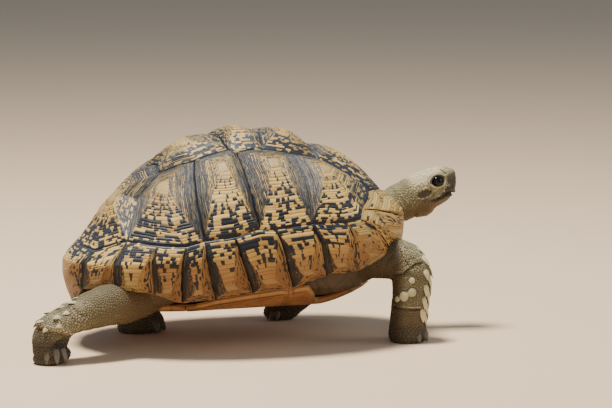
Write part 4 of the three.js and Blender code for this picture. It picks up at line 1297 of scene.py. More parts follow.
def big_folds(points, region):
    """Valley and ridge of the few large folds, 0 to 1."""
    x, y, z = points.T
    valley, ridge = np.zeros(len(points)), np.zeros(len(points))
    heading = np.degrees(np.arctan2(y - FOREARM_CENTRE[1], x - FOREARM_CENTRE[0]))
    for line in FOREARM_FOLDS:
        first, last = line[0][0], line[-1][0]
        near = ease(heading, first - 6, first + 4) * (1 - ease(heading, last - 4, last + 6))
        near = near * on(region, "front_right")
        off = z - along_line(heading, line)
        valley = np.maximum(valley, near * bell(off, -1.1, 1.1))
        ridge = np.maximum(ridge, near * bell(off, 0.9, 1.1))
    off = z - along_line(x, ANKLE_FOLD)
    hind = on(region, "hind_right") * ease(z, 3, 8) * ease(-x, 176, 184)
    valley = np.maximum(valley, hind * (1 - ease(off, -2.0, 0.0)) * 0.9)
    return valley, np.maximum(ridge, hind * bell(off, 1.8, 2.0))


def neck_folds(points, along, turn):
    ahead, aside = np.cos(turn) * 3, np.sin(turn) * 3
    rings = creases(along / 6.5 + 0.7 * ahead * 0.4, aside * 0.45, 21, 0.17)
    lengthwise = creases(along / 22, ahead * 0.9, 22, 0.13) * ease(-np.sin(turn), -0.6, 0.3)
    return (1 - ease(along, 44, 66)) * (1.7 * rings + 0.9 * lengthwise)


def foreleg_folds(points, along, turn, elbow):
    ahead, aside = np.cos(turn) * 3, np.sin(turn) * 3
    rings = creases(along / 9 + ahead * 0.35, aside * 0.4, 23, 0.13)
    shoulder = 0.5 * (1 - ease(along, 40, 70)) * creases(along / 14, ahead, 24)
    return (0.25 + 0.9 * bell(along, elbow, 20)) * rings + shoulder


def hind_leg_folds(points, along, turn, right):
    ankle = ease(along, 78, 100) * (1 - ease(along, 128, 140)) if right else bell(along, 50, 14)
    rings = creases(along / 8 + np.cos(turn) * 3 * 0.35, np.sin(turn) * 3 * 0.4, 25, 0.14)
    return (0.25 + 0.9 * ankle) * rings


def trunk_folds(points, along, turn):
    x, y, z = points.T
    return (1.6 * creases(x / 16 + z / 30, y / 10, 26, 0.16) + 0.9 * creases(x / 11 - z / 6, y / 12, 27, 0.2))


# Folds of each region, where along it a foreleg bends, and whether a hind leg is the right one.
# Each kind of fold is worked out from the points, the length along and the angle round.
LOOSE_SKIN = {"head": (neck_folds,), "trunk": (trunk_folds,),
              "front_right": (foreleg_folds, 66), "front_left": (foreleg_folds, 42),
              "hind_right": (hind_leg_folds, True), "hind_left": (hind_leg_folds, False)}
# Hollow under the right hind shank, swell of its foot, depth and height of the big folds.
SHANK_HOLLOW, FOOT_SWELL = 8.5, 6.5
VALLEY_DEPTH, RIDGE_HEIGHT = 2.6, 1.4


def fold_depth(points, region, along, turn, z):
    """How far the loose skin sinks, in millimetres."""
    depth = np.zeros(len(points))
    for name, (folds, *settings) in LOOSE_SKIN.items():
        here = on(region, name)
        depth[here] = folds(points[here], along[here], turn[here], *settings)
    x = points[:, 0]
    below = along_line(x, SHANK_MIDDLE) - z
    shank = on(region, "hind_right")
    depth += SHANK_HOLLOW * shank * bell(x, -186, 32) * ease(below, 3, 15) * ease(z, 14, 20)
    depth -= FOOT_SWELL * shank * ease(x, -203, -192) * (1 - ease(z, 16, 25)) * (1 - ease(x, -184, -170))
    valley, ridge = big_folds(points, region)
    return depth * ease(z, 3, 10) + VALLEY_DEPTH * valley - RIDGE_HEIGHT * ridge


def head_tone(points):
    """Shares of pale, brown and dark colour on the head and neck."""
    head = head_space(points)
    x, y, z = head.T
    side = np.abs(y)
    front = ease(x, -22, -6)
    pale = 0.26 + 0.46 * front * ease(z, 2, 10) + 0.12 * front * ease(z, -9, -2)
    brown = 0.9 * ease(-z, 5, 13) + 0.45 * bell(x, -2, 9) * bell(z, -5, 5) + 0.45 * ease(x, 20, 26)
    snout = ease(x, 19.0, 24.5) * (1 - ease(z, 8.5, 11.5))
    upper, lower = lip_heights(x, y)
    # The dark mouth line is painted shade inside the mouth and under the upper beak.
    mouth = ease(x, -5, 0) * ease(z, lower - 0.4, lower + 0.3) * (1 - ease(z, upper - 0.3, upper + 0.4))
    _, up, outwards, opening, _ = eye_place(head)
    near = (outwards > -3) & (x > 2)
    # Painted shade of the lids: a dark ring at the edge of the opening and over the upper lid.
    rim = near * np.maximum(bell(opening, 1.0, 0.14), 0.85 * bell(opening, 1.22, 0.20) * ease(up, -1.5, 1.5))
    drum = (1 - ease(ear_share(x, z), 0.85, 1.1)) * ease(side, 8, 12)
    # The dark along the brow groove is painted shade in that groove.
    dark = np.max([0.08 + 0.84 * snout + 0.35 * bell(x, -6, 10) * bell(z, -6, 5),
                   0.8 * bell(groove_gap(x, z), 0, 1.3) * ease(side, 4, 7),
                   ease(x, 24, 28) * bell(nostril_gap(head), 0, 1.1), mouth * 0.95, rim, drum * 0.58], axis=0)
    lower_lid = near * bell(opening, 1.32, 0.16) * ease(-up, 0.5, 2.5)
    return np.maximum(pale * (1 - rim), lower_lid * 0.95), np.maximum(brown, drum * 0.9), dark


def limb_tone(points, region):
    """The same shares on the legs and the tail."""
    x, _, z = points.T
    fore, hind = on(region, "front_right", "front_left"), on(region, "hind_right", "hind_left")
    right = on(region, "hind_right")
    # The dark share on the feet, towards the ground, is painted shade.
    foot = 1 - ease(z, 14, 26)
    # Behind the right foreleg the pocket is partly dark skin and partly painted deep shade: its brown is
    # both, and its dark share is painted shade. The brown on the rear of the foreleg is also partly painted
    # shade.
    pocket = on(region, "front_right") * ease(-x, -149, -139)
    pale = np.where(fore, 0.22 + 0.25 * ease(z, 66, 92), 0.34) * (1 - 0.8 * pocket)
    pale = np.where(right, 0.15 + 0.26 * ease(-x, 160, 185) * (1 - foot), pale)
    brown = np.where(fore, np.maximum(0.65 * (1 - ease(z, 26, 40)), 0.5 * ease(-x, -150, -138)), 0.10)
    brown = np.maximum(brown, 0.9 * pocket)
    brown = np.where(right, np.maximum(0.25 + 0.7 * ease(x, -160, -118), 0.5 * foot), brown)
    # Painted shadow: the right hind foot under the fold of ankle skin is darkened as the shade that fold
    # casts.
    heel = right * (1 - ease(z, 22, 30)) * ease(-x, 176, 186)
    dark = np.max([np.full(len(x), 0.12), (fore | hind) * foot * 0.72, 0.6 * pocket, 0.95 * heel], axis=0)
    return pale, brown, dark


TRUNK_TONE = np.array([[0.12], [1.0], [0.22]])
PATCHINESS = np.array([[1.0], [0.0], [0.5]])   # how much the three shares vary in patches


def flesh_tone(points, region):
    """Shares of pale, brown and dark colour of skin and scales alike."""
    pale, brown, dark = np.where(on(region, "head"), head_tone(points), limb_tone(points, region))
    valley, ridge = big_folds(points, region)
    # On the big folds the valleys are darkened as painted shade, and the ridges are made paler.
    pale, dark = np.maximum(pale, ridge * 0.75), np.maximum(dark, valley * 0.75)
    tone = np.where(on(region, "trunk"), TRUNK_TONE, [pale, brown, dark])
    patch = field(points * 0.11, 51) * 0.16 + field(points * 0.3, 52) * 0.12
    return np.clip(tone + patch * PATCHINESS, 0, 1).T


def scale_spacing(points, region):
    """How far apart the scales stand, in millimetres."""
    head = head_space(points)
    x, _, z = head.T
    crown = ease(z, 13, 18)
    face = 2.4 + 3.2 * crown * ease(x, -6, 4) - 0.9 * ease(-z, 9, 14) - 1.6 * crown * ease(x, 24, 29)
    _, _, outwards, opening, _ = eye_place(head)
    face = np.where((outwards > -3) & (x > 0), np.minimum(face, 1.25 + 1.4 * ease(opening, 1.2, 2.6)), face)
    foot = 1 - ease(points[:, 2], 14, 22)
    fore, hind = on(region, "front_right", "front_left"), on(region, "hind_right", "hind_left")
    return np.select([on(region, "head"), fore, hind], [
        2.1 + (face - 2.1) * ease(x, -18, -8), 1.8 + 0.35 * field(points * 0.12, 61) + 1.2 * foot,
        1.95 + 0.35 * field(points * 0.12, 62) + 0.8 * foot], TAIL_SPACING)


TAIL_SPACING = 2.4            # distance between the scales of the tail
FLESH_SWELL = 1.1             # what the remesh and the smoothing take off the limbs, given back
TRUNK_COLUMNS, TRUNK_ROWS = 96, 65
TUBE_COLUMNS = 40
TRUNK_INSIDE = 1.2
GAP_ON_HEAD, GAP_ON_BODY = 0.12, 0.45     # how dark the skin is between the scales
BRIDGE_FROM, BRIDGE_TO = 74, 112          # headings between which the bridge closes the shell, degrees
HIDDEN_OVER_RIM, HIDDEN_UNDER = 12, -56   # heights over the rim and under which nothing shows, degrees
HIDDEN_DETAIL = 0.05                      # share of the faces kept where nothing shows
BODY_SMOOTHING, HEAD_SMOOTHING = {"factor": 0.5, "repeat": 5}, {"factor": 0.5, "repeat": 3}
FINE_HEAD_FROM, HEAD_FORMS_FROM = -16, -18   # how far back the head is refined and shaped
SKIN_WAVES = 0.3                          # soft unevenness of the flesh


def inside_box(points, margin=0.15):
    """Points kept within the box of the solid model, in millimetres."""
    low, high = (np.array(corner) / MM - FRAME_SHIFT for corner in CAD_BOX)
    return np.clip(points, low + margin * np.array([1, 1, 0]), high - margin)


def hidden_under_shell(points, region):
    """Parts of the trunk that no opening shows."""
    level = points - stand(np.zeros(3))
    azimuth = np.degrees(np.abs(np.arctan2(level[:, 1], level[:, 0])))
    height = np.degrees(np.arctan2(level[:, 2], np.hypot(level[:, 0], level[:, 1])))
    rim = np.degrees(line_height(RIM, np.radians(azimuth)))
    bridge = (azimuth > BRIDGE_FROM) & (azimuth < BRIDGE_TO)
    closed = bridge | (height > rim + HIDDEN_OVER_RIM) | (height < HIDDEN_UNDER)
    return on(region, "trunk") & closed


class TORTOISE_OT_skin(bpy.types.Operator):
    """One skin over trunk, neck, head, legs and tail"""
    bl_idname = "tortoise.skin"
    bl_label = "Skin"

    def execute(self, context):
        skin = self.flesh_block(context.scene.tortoise_skin.voxel)
        points = points_of(skin)
        select_points(skin, hidden_under_shell(points, whereabouts(points)[0]))
        edit(skin, (bpy.ops.mesh.decimate, {"ratio": HIDDEN_DETAIL}))
        points = points_of(skin)
        head = head_space(points)[:, 0] > FINE_HEAD_FROM
        select_points(skin, ~hidden_under_shell(points, whereabouts(points)[0]))
        edit(skin, (bpy.ops.mesh.vertices_smooth, BODY_SMOOTHING))
        select_points(skin, head)
        edit(skin, (bpy.ops.mesh.subdivide, {"number_cuts": 1}),
             (bpy.ops.mesh.vertices_smooth, HEAD_SMOOTHING))
        points, region = self.shaped(points_of(skin), normals_of(skin))
        move_points(skin, points)
        point_values(skin, "tone", flesh_tone(points, region))
        point_values(skin, "gap", np.where(on(region, "head"), GAP_ON_HEAD, GAP_ON_BODY))
        flesh = [node for name in ("front_right", "hind_right", "hind_left", "front_left")
                 for node in (f"leg_{name}", f"foot_{name}")]
        smooth(skin)
        finish_piece(skin, "skin", skin_finish(), "body_skin", "trunk", "neck", "head", "tail", *flesh)
        return {"FINISHED"}

    def flesh_block(self, voxel):
        """Trunk, head, legs and tail melted into one body."""
        parts = []
        for tube in TUBES.values():
            rows = tube.rows(TUBE_COLUMNS, SKIN_INSIDE)
            rows[..., 2] = np.maximum(rows[..., 2], 0)
            parts.append(ring_body(rows)[0])
        turn, height = np.meshgrid(np.arange(TRUNK_COLUMNS) / TRUNK_COLUMNS * 2 * math.pi,
                                   np.linspace(math.pi / 2, -math.pi / 2, TRUNK_ROWS))
        rows = trunk_surface(np.stack([np.cos(height) * np.cos(turn), np.cos(height) * np.sin(turn),
                                       np.sin(height)], axis=-1))
        rows -= unit(rows - stand(np.zeros(3))) * TRUNK_INSIDE
        skin = join(parts + [ring_body(rows)[0]])
        apply_modifier(skin, "REMESH", mode="VOXEL", voxel_size=voxel)
        return skin

    def shaped(self, points, normals):
        """The skin's points with folds, swell and the head's forms, and their regions."""
        region, along, turn, closeness = whereabouts(points)
        open_to_view = ~hidden_under_shell(points, region)
        sink = fold_depth(points, region, along, turn, points[:, 2])
        crown = on(region, "head") * ease(head_space(points)[:, 2], -6, 6)
        sink -= FLESH_SWELL * (1 - ease(closeness, 1.05, 1.22)) * ease(points[:, 2], 1, 6) * (1 - 1.2 * crown)
        sink -= SKIN_WAVES * field(points * 0.14, 71) * ease(points[:, 2], 2, 8)
        points = points - normals * (sink * open_to_view)[:, None]
        head = head_space(points)[:, 0] > HEAD_FORMS_FROM
        points[head] = shape_head(points[head], normals[head])
        return inside_box(points), region


# ---- Scales --------------------------------------------------------------------------------------

SCALE_COLUMNS = 10
SCALE_RINGS = ((0.0, 1.0), (0.52, 0.90), (0.86, 0.55), (1.0, -0.35), (0.0, -0.6))   # reach, height
CANDIDATES_PER_SCALE = 10
WIDEST_REACH = 0.9            # how far a scale may reach from its middle, as a share of its size
LONGEST_PIECE = 3100
SCALE_NEIGHBOURS = 18
CROWD_CELL = 2.5              # cells that sort the scales by place, millimetres
SKIN_REACH = 3.0              # how far a scale's edge looks for the skin
MAP_LENGTH = 200              # length of limb that fills the scales' map, millimetres
HEAD_RISE, LIMB_RISE = 0.055, 0.18      # a scale's height for its size, and what is added to it
HEAD_BASE, LIMB_BASE = 0.10, 0.14
HEAD_FILL, LIMB_FILL = 0.975, 0.945     # share of its own place that a scale fills
# The rim shares set how much of the painted shade at a scale's edge is held back.
HEAD_RIM, LIMB_RIM = 0.68, 0.28         # how pale its rim is
FLAT_TONE, FLAT_HEIGHT = (0.66, 0.10, 0.0), 0.9


def scatter(points, spacing, generator, taken=()):
    """Picks points no two of which are nearer than their spacing, wide ones first."""
    crowd, picked = {}, []

    def claim(place, radius):
        reach = range(-math.ceil(radius / CROWD_CELL), math.ceil(radius / CROWD_CELL) + 1)
        base = np.floor(place / CROWD_CELL).astype(int)
        for i, j, k in itertools.product(reach, repeat=3):
            crowd.setdefault((base[0] + i, base[1] + j, base[2] + k), []).append((*place, radius))

    for place, radius in taken:
        claim(place, radius)
    order = np.argsort(-np.round(spacing * 2) + generator.uniform(0, 0.9, len(points)))
    cells = np.floor(points / CROWD_CELL).astype(int)
    for index in order:
        x, y, z = points[index]
        own = spacing[index]
        if all((x - a) ** 2 + (y - b) ** 2 + (z - c) ** 2 >= ((radius + own) / 2) ** 2
               for a, b, c, radius in crowd.get(tuple(cells[index]), ())):
            picked.append(index)
            claim(points[index], own)
    return np.array(picked)


def surface_samples(skin, density, generator):
    """Points on the skin in millimetres, with normals; density gives how many to a square millimetre."""
    mesh = skin.data
    mesh.calc_loop_triangles()
    corners = read(mesh.loop_triangles, "vertices", 3)
    points, normals = points_of(skin), normals_of(skin)
    a, b, c = (points[corners[:, k]] for k in range(3))
    area = np.linalg.norm(np.cross(b - a, c - a), axis=1) / 2
    wanted = area * density[corners].mean(axis=1)
    total = int(wanted.sum())
    chosen = generator.choice(len(corners), size=total, p=wanted / wanted.sum())
    u, v = generator.random(total), generator.random(total)
    fold = u + v > 1
    u[fold], v[fold] = 1 - u[fold], 1 - v[fold]
    w = 1 - u - v
    mix = [value[:, None] for value in (w, u, v)]
    place = sum(m * points[corners[chosen, k]] for k, m in enumerate(mix))
    normal = unit(sum(m * normals[corners[chosen, k]] for k, m in enumerate(mix)))
    return place, normal


def bare_places(points, region):
    """Where no scale grows: eyes, mouth, ear drums, beak, nostrils, soles and the trunk."""
    head = head_space(points)
    x, y, z = head.T
    _, _, outwards, opening, _ = eye_place(head)
    upper, lower = lip_heights(x, y)
    bare = (outwards > -3) & (x > 0) & (opening < 1.16)
    bare |= (x > -4) & (z > lower - 1.0) & (z < upper + 1.0)
    bare |= (x > 9) & (z > lower - 2.6) & (z < upper + 2.6 + 1.6 * ease(x, 16, 26))
    bare |= (x > 31.0) & (z < 2)
    bare |= (nostril_gap(head) < 1.5) & (x > 24)
    bare |= (ear_share(x, z) < 1.0) & (np.abs(y) > 8)
    return bare & on(region, "head") | (points[:, 2] < 1.0) | on(region, "trunk")


def scale_cells(seeds, normals, sizes):
    """Reach of each scale in every direction round it, from its neighbours' places and sizes."""
    tree = KDTree(len(seeds))
    for index, seed in enumerate(seeds):
        tree.insert(seed, index)
    tree.balance()
    near = np.array([[found[1] for found in tree.find_n(seed, SCALE_NEIGHBOURS)] for seed in seeds])
    helper = np.where(np.abs(normals[:, 2:]) > 0.8, [[1.0, 0, 0]], [[0, 0, 1.0]])
    first = unit(np.cross(helper, normals))
    second = np.cross(normals, first)
    away = seeds[near] - seeds[:, None]
    u = np.einsum("ijk,ik->ij", away, first)
    v = np.einsum("ijk,ik->ij", away, second)
    distance = np.hypot(u, v)
    heading = np.arctan2(v, u)
    border = distance ** 2 + (sizes[:, None] / 2) ** 2 - (sizes[near] / 2) ** 2
    border = border / (2 * np.maximum(distance, 1e-6))
    turn = np.arange(SCALE_COLUMNS) / SCALE_COLUMNS * 2 * math.pi
    facing = np.cos(turn[None, :, None] - heading[:, None, :])
    faced = (facing > 0.05) & (distance[:, None] > 1e-3)
    reach = np.where(faced, border[:, None] / np.maximum(facing, 0.05), 99)
    reach = np.minimum(reach.min(axis=2), sizes[:, None] * WIDEST_REACH)
    return np.maximum(reach, 0.15), first, second, turn


def scale_coat(name, tree, seeds, normals, sizes, height, fill, tone, place_on_map, material, slot):
    """A joined mesh of scales, one array copy to each."""
    reach, first, second, turn = scale_cells(seeds, normals, sizes)
    generator = np.random.default_rng(len(seeds))
    luck = generator.random(len(seeds))
    obj, ring, column = ring_body(np.zeros((len(SCALE_RINGS), SCALE_COLUMNS, 3)))
    apply_modifier(obj, "ARRAY", fit_type="FIXED_COUNT", count=len(seeds), use_relative_offset=False,
                   use_constant_offset=True, constant_offset_displace=(0.01, 0, 0))
    ring, column = np.tile(ring, len(seeds)), np.tile(column, len(seeds))
    which = np.repeat(np.arange(len(seeds)), len(ring) // len(seeds))
    share, rise = np.transpose(SCALE_RINGS)[:, ring]
    gap = fill[which] - 0.10 / sizes[which]
    spread = (reach[which, column] * gap * share)[:, None]
    flat = seeds[which] + (first[which] * np.cos(turn[column])[:, None]
                           + second[which] * np.sin(turn[column])[:, None]) * spread
    lift = np.where(rise > 0, height[which] * rise, rise * 0.6)
    landed = flat.copy()
    for index in np.flatnonzero(share >= 0.5):
        found = tree.find_nearest(Vector(flat[index]), SKIN_REACH)
        if found[0] is not None:
            landed[index] = found[0]
    move_points(obj, inside_box(landed + normals[which] * lift[:, None]))
    bake_map(obj, place_on_map[which], turn[column], share)
    point_values(obj, "tone", tone[which])
    # Crown is low at a scale's rim, where the finish paints shade.
    point_values(obj, "crown", np.clip(rise, np.where(fill[which] > 0.96, HEAD_RIM, LIMB_RIM), 1))
    point_values(obj, "luck", luck[which])
    smooth(obj)
    return finish_piece(obj, name, material, slot)


def map_place(region, along, turn):
    """Place on an unwrap of the skin: a strip for each limb, its length across and its girth up."""
    count = len(REGIONS)
    girth = (region + 0.05 + 0.9 * (turn / (2 * math.pi) + 0.5)) / count
    return np.stack([np.clip(along / MAP_LENGTH, 0.01, 0.99), girth], axis=-1)


# ---- Large scales --------------------------------------------------------------------------------

# Flat oval scales on the outer side of the forearm and round the feet:
# limb, length along it, heading in degrees from ahead, how far apart from its neighbours, millimetres.
FLAT_SCALES = [
    ("front_right", 81, -108, 7.5), ("front_right", 92, -105, 10.0), ("front_right", 96, -129, 11.5),
    ("front_right", 99, -152, 7.0), ("front_left", 74, 120, 6.5), ("front_left", 82, 100, 8.5),
    ("front_left", 86, 75, 9.0),
]
# Rows of pointed overlapping scales: limb, heading, first and last length along, spacing, width, length.
SHIELD_ROWS = [
    ("front_right", -58, 76, 112, 11.6, 9.0, 14.0), ("front_right", -36, 70, 118, 11.6, 9.6, 14.5),
    ("front_right", -13, 64, 112, 11.6, 10.0, 14.5), ("front_right", 12, 58, 118, 11.6, 9.6, 14.0),
    ("front_right", 36, 64, 112, 11.6, 8.6, 13.0),
    ("front_left", 60, 30, 96, 12.0, 8.6, 12.0), ("front_left", 35, 36, 96, 12.0, 8.8, 12.5),
    ("front_left", 10, 30, 96, 12.0, 8.2, 11.5),
]
BEND_FROM, BEND_TO = 44, 76
# Spurs on the heel and the back of the hind legs: limb, length along, heading, tilt up, width, length.
SPURS = [
    ("hind_right", 92, 180, 60, 5.8, 8.6), ("hind_right", 100, -150, 45, 6.1, 9.4),
    ("hind_right", 101, 165, 40, 5.8, 9.4), ("hind_right", 109, -168, 25, 6.5, 10.1),
    ("hind_right", 110, -138, 20, 5.4, 8.6), ("hind_right", 112, 150, 20, 5.8, 9.4),
    ("hind_right", 119, -152, 5, 6.1, 9.8), ("hind_right", 120, 176, 5, 6.5, 10.1),
    ("hind_right", 122, -122, 5, 5.0, 7.8), ("hind_right", 129, -166, 0, 5.8, 8.6),
    ("hind_right", 130, -138, 0, 5.0, 7.4), ("hind_right", 130, 158, 0, 5.4, 7.8),
    ("hind_left", 40, 178, 0, 5.4, 8.2), ("hind_left", 47, -160, 0, 5.8, 9.4),
    ("hind_left", 48, 158, 0, 5.8, 9.4), ("hind_left", 56, 176, 0, 6.1, 9.8),
    ("hind_left", 57, -140, 0, 5.4, 8.2), ("hind_left", 64, -162, 0, 5.8, 8.6),
    ("hind_left", 65, 154, 0, 5.8, 8.6),
]
# Cone scales on the back of the thighs beside the tail.
THIGH_CONES = [
    ("hind_right", 34, 120, 40, 7.0, 7.5), ("hind_right", 46, 105, 35, 8.0, 9.0),
    ("hind_right", 44, 150, 20, 6.0, 6.5), ("hind_right", 57, 125, 30, 6.5, 7.0),
    ("hind_left", 14, 190, 10, 7.0, 7.5), ("hind_left", 22, 205, 0, 8.0, 9.0),
    ("hind_left", 24, 180, 0, 6.5, 7.0),
]
CAST_FROM, CAST_LENGTH = 45, 60
SPUR_LIFT, CONE_LIFT = 2.4, 4.5   # how far the tips stand off the skin
SHIELD_ROOM = 0.62                # ground a pointed scale takes from its neighbours, as a share of its width
SHIELD_COLUMNS = 20
SHIELD_ROWS_OVER = ((0.0, 1.0), (0.3, 0.97), (0.6, 0.80), (0.82, 0.55), (0.95, 0.30), (1.0, 0.08),
                    (0.96, -0.16), (0.6, -0.30), (0.0, -0.35))


def spot_on_limb(tree, limb, along, heading, tilt):
    """Where a line from a limb's middle leaves the skin, with the skin's normal and the limb's direction."""
    tube = TUBES[limb]
    middle, down = (np.array([np.interp(along, tube.length, values) for values in run.T])
                    for run in (tube.centre, tube.along))
    down = unit(down)
    way = direction_of((heading, tilt))
    way = unit(way - np.dot(way, down) * down)
    hit = tree.ray_cast(Vector(middle + way * CAST_FROM), Vector(-way), CAST_LENGTH)
    if hit[0] is None:
        return None
    return np.array(hit[0]), unit(np.array(hit[1]) * 0.35 + way * 0.65), down


def shield(place, normal, down, width, long, lift):
    """A pointed scale whose root is let into the skin and whose tip stands off it."""
    down = unit(down - np.dot(down, normal) * normal)
    across = np.cross(normal, down)
    turn = -np.arange(SHIELD_COLUMNS) / SHIELD_COLUMNS * 2 * math.pi
    forward = np.cos(turn)
    pointed = 1 - 0.48 * np.maximum(forward, 0) ** 1.3
    reach_along = np.where(forward > 0, forward * long * 0.58, forward * long * 0.42)
    reach_across = -np.sin(turn) * width / 2 * pointed
    rows = []
    for share, height in SHIELD_ROWS_OVER:
        along = reach_along * share
        stand_off = lift * ease(along, -long * 0.4, long * 0.6) - 0.5 * (1 - ease(along, -long * 0.42, 0))
        keel = 0.16 * width * max(height, 0) - 0.5 * (height < 0) * 1.4
        thin = keel * (0.45 + 0.55 * (1 - ease(along, 0, long * 0.6)))
        rows.append(place + down * along[:, None] + across * (reach_across * share)[:, None]
                    + normal * (stand_off + thin - 0.3)[:, None])
    return ring_body(inside_box(np.array(rows)))


def skin_tree():
    """The skin, its points in millimetres and a tree of its faces to cast lines at."""
    skin = bpy.data.objects["skin"]
    points = points_of(skin)
    return skin, points, BVHTree.FromPolygons([Vector(point) for point in points],
                                              [polygon.vertices[:] for polygon in skin.data.polygons])


def shield_pieces(tree):
    """Limb, object and colour values of every pointed scale."""
    generator = np.random.default_rng(21)
    wanted = []
    for limb, heading, first, last, spacing, width, long in SHIELD_ROWS:
        for along in np.arange(first, last + 0.1, spacing):
            tilt = 75 * (1 - ease(along, BEND_FROM, BEND_TO)) if limb == "front_right" else 0
            spot = along + generator.uniform(-0.7, 0.7), heading + generator.uniform(-3, 3), tilt
            size = width * generator.uniform(0.88, 1.1), long * generator.uniform(0.9, 1.08)
            wanted.append((limb, *spot, *size, 1.3 + 1.1 * ease(along, 70, 84)))
    wanted += [(*spur, SPUR_LIFT) for spur in SPURS] + [(*cone, CONE_LIFT) for cone in THIGH_CONES]
    found = []
    for limb, along, heading, tilt, width, long, lift in wanted:
        spot = spot_on_limb(tree, limb, along, heading, tilt)
        if spot is not None and spot[0][2] > 4:
            found.append((limb, along, heading, width, long, lift, *spot))
    return found


class TORTOISE_OT_scales(bpy.types.Operator):
    """Scales over the whole skin, fitted to each other like paving"""
    bl_idname = "tortoise.scales"
    bl_label = "Scales"

    def execute(self, context):
        skin, points, tree = skin_tree()
        generator = np.random.default_rng(7)
        region, *_ = whereabouts(points)
        spacing = scale_spacing(points, region)
        density = CANDIDATES_PER_SCALE / (0.9 * spacing ** 2) * ~bare_places(points, region)
        place, normal = surface_samples(skin, density, generator)
        keep = ~bare_places(place, whereabouts(place)[0])
        place, normal = place[keep], normal[keep]
        spacing = scale_spacing(place, whereabouts(place)[0])

        shields = shield_pieces(tree)
        flat = [(spot_on_limb(tree, limb, length_along, heading, 0), size)
                for limb, length_along, heading, size in FLAT_SCALES]
        flat = [(spot[0], spot[1], size) for spot, size in flat if spot is not None]
        taken = [(spot, size) for spot, _, size in flat]
        taken += [(spot, width * SHIELD_ROOM) for _, _, _, width, _, _, spot, _, _ in shields]
        picked = scatter(place, spacing, generator, taken)
        flat_places, flat_normals, flat_sizes = zip(*flat)
        place = np.concatenate([place[picked], flat_places])
        normal = np.concatenate([normal[picked], flat_normals])
        spacing = np.concatenate([spacing[picked], flat_sizes])
        region, along, turn, _ = whereabouts(place)
        tone = flesh_tone(place, region)
        tone[len(picked):] = FLAT_TONE
        is_head = on(region, "head")
        height = spacing * np.where(is_head, HEAD_RISE, LIMB_RISE) + np.where(is_head, HEAD_BASE, LIMB_BASE)
        height[len(picked):] = FLAT_HEIGHT
        fill = np.where(is_head, HEAD_FILL, LIMB_FILL)
        material = scale_finish()
        for name in LIMBS:
            mine = np.flatnonzero(on(region, name))
            mine = mine[np.argsort(along[mine])]
            slot = "head_skin" if name == "head" else "limb_skin"
            for number, part in enumerate(np.array_split(mine, max(1, math.ceil(len(mine) / LONGEST_PIECE)))):
                scale_coat(f"scales_{name}_{number + 1}", tree, place[part], normal[part], spacing[part],
                           height[part], fill[part], tone[part],
                           map_place(region[part], along[part], turn[part]), material, slot)
        self.pointed_scales(shields, material)
        return {"FINISHED"}

    def pointed_scales(self, shields, material):
        generator = np.random.default_rng(5)
        for limb in LIMBS:
            parts = []
            for name, along, heading, width, long, lift, spot, normal, down in shields:
                if name != limb:
                    continue
                body, ring, column = shield(spot, normal, down, width, long, lift)
                share, height = np.transpose(SHIELD_ROWS_OVER)[:, ring]
                count = len(ring)
                pale = 0.80 + 0.25 * generator.random() - 0.35 * (abs(heading) > 62 or heading > 20)
                point_values(body, "tone", np.tile([pale, 0.0, 0.0], (count, 1)))
                # The underside of a pointed scale is darkened as painted shade.
                point_values(body, "crown", np.clip(height * 1.6, 0, 1))
                point_values(body, "luck", np.full(count, generator.random()))
                root = map_place(REGIONS.index(limb), along, math.radians((heading + 180) % 360 - 180))
                bake_map(body, root, -column / SHIELD_COLUMNS * 2 * math.pi, share)
                parts.append(body)
            if parts:
                coat = join(parts)
                smooth(coat, SMOOTH_HORN)
                finish_piece(coat, f"pointed_scales_{limb}", material, "limb_skin")


class TORTOISE_OT_eyes(bpy.types.Operator):
    """Two dark eyes"""
    bl_idname = "tortoise.eyes"
    bl_label = "Eyes"

    def execute(self, context):
        for side, name in SIDES:
            eye = unit_sphere(64, 48)
            mirror = np.array([1, side, 1])
            axis = EYE_AXIS * mirror
            first = unit(np.cross(axis, UP))
            second = np.cross(axis, first)
            local = raw_points(eye)
            behind = local[:, 2] < 0
            point_values(eye, "iris", np.hypot(local[:, 0], local[:, 1]) + behind * 2.0)
            if np.dot(np.cross(first, second), axis) < 0:
                edit(eye, (bpy.ops.mesh.select_all, {"action": "SELECT"}), (bpy.ops.mesh.flip_normals, {}))
            place = (local[:, :1] * first + local[:, 1:2] * second + local[:, 2:] * axis) * EYE_RADIUS
            move_points(eye, from_head_space(place + EYE_AT * mirror))
            smooth(eye)
            finish_piece(eye, f"eyeball_{name}", eye_finish(), "eye", f"eye_{name}")
        return {"FINISHED"}


# ---- Claws ---------------------------------------------------------------------------------------

# Claws of each foot: how many, middle of the foot, distance of the roots from it, headings of the first
# and last, height of the roots, how far the tips reach beyond them, and thickness at the root.
CLAWS = {
    "front_right": (5, (156, -77), 14.0, (-75, 65), 10.0, 5.5, 3.5),
    "hind_right": (4, (-207, -86), 11.5, (-160, -50), 14.5, 4.3, 3.3),
    "hind_left": (4, (-81, 58), 16.0, (-60, 60), 13.0, 7.0, 4.2),
    "front_left": (5, (73, 83), 8.0, (120, 240), 9.0, 5.0, 3.4),
}
CLAW_STATIONS = ((0.0, 1.0), (0.2, 1.02), (0.4, 0.96), (0.6, 0.82), (0.8, 0.60), (0.93, 0.36), (1.0, 0.12))


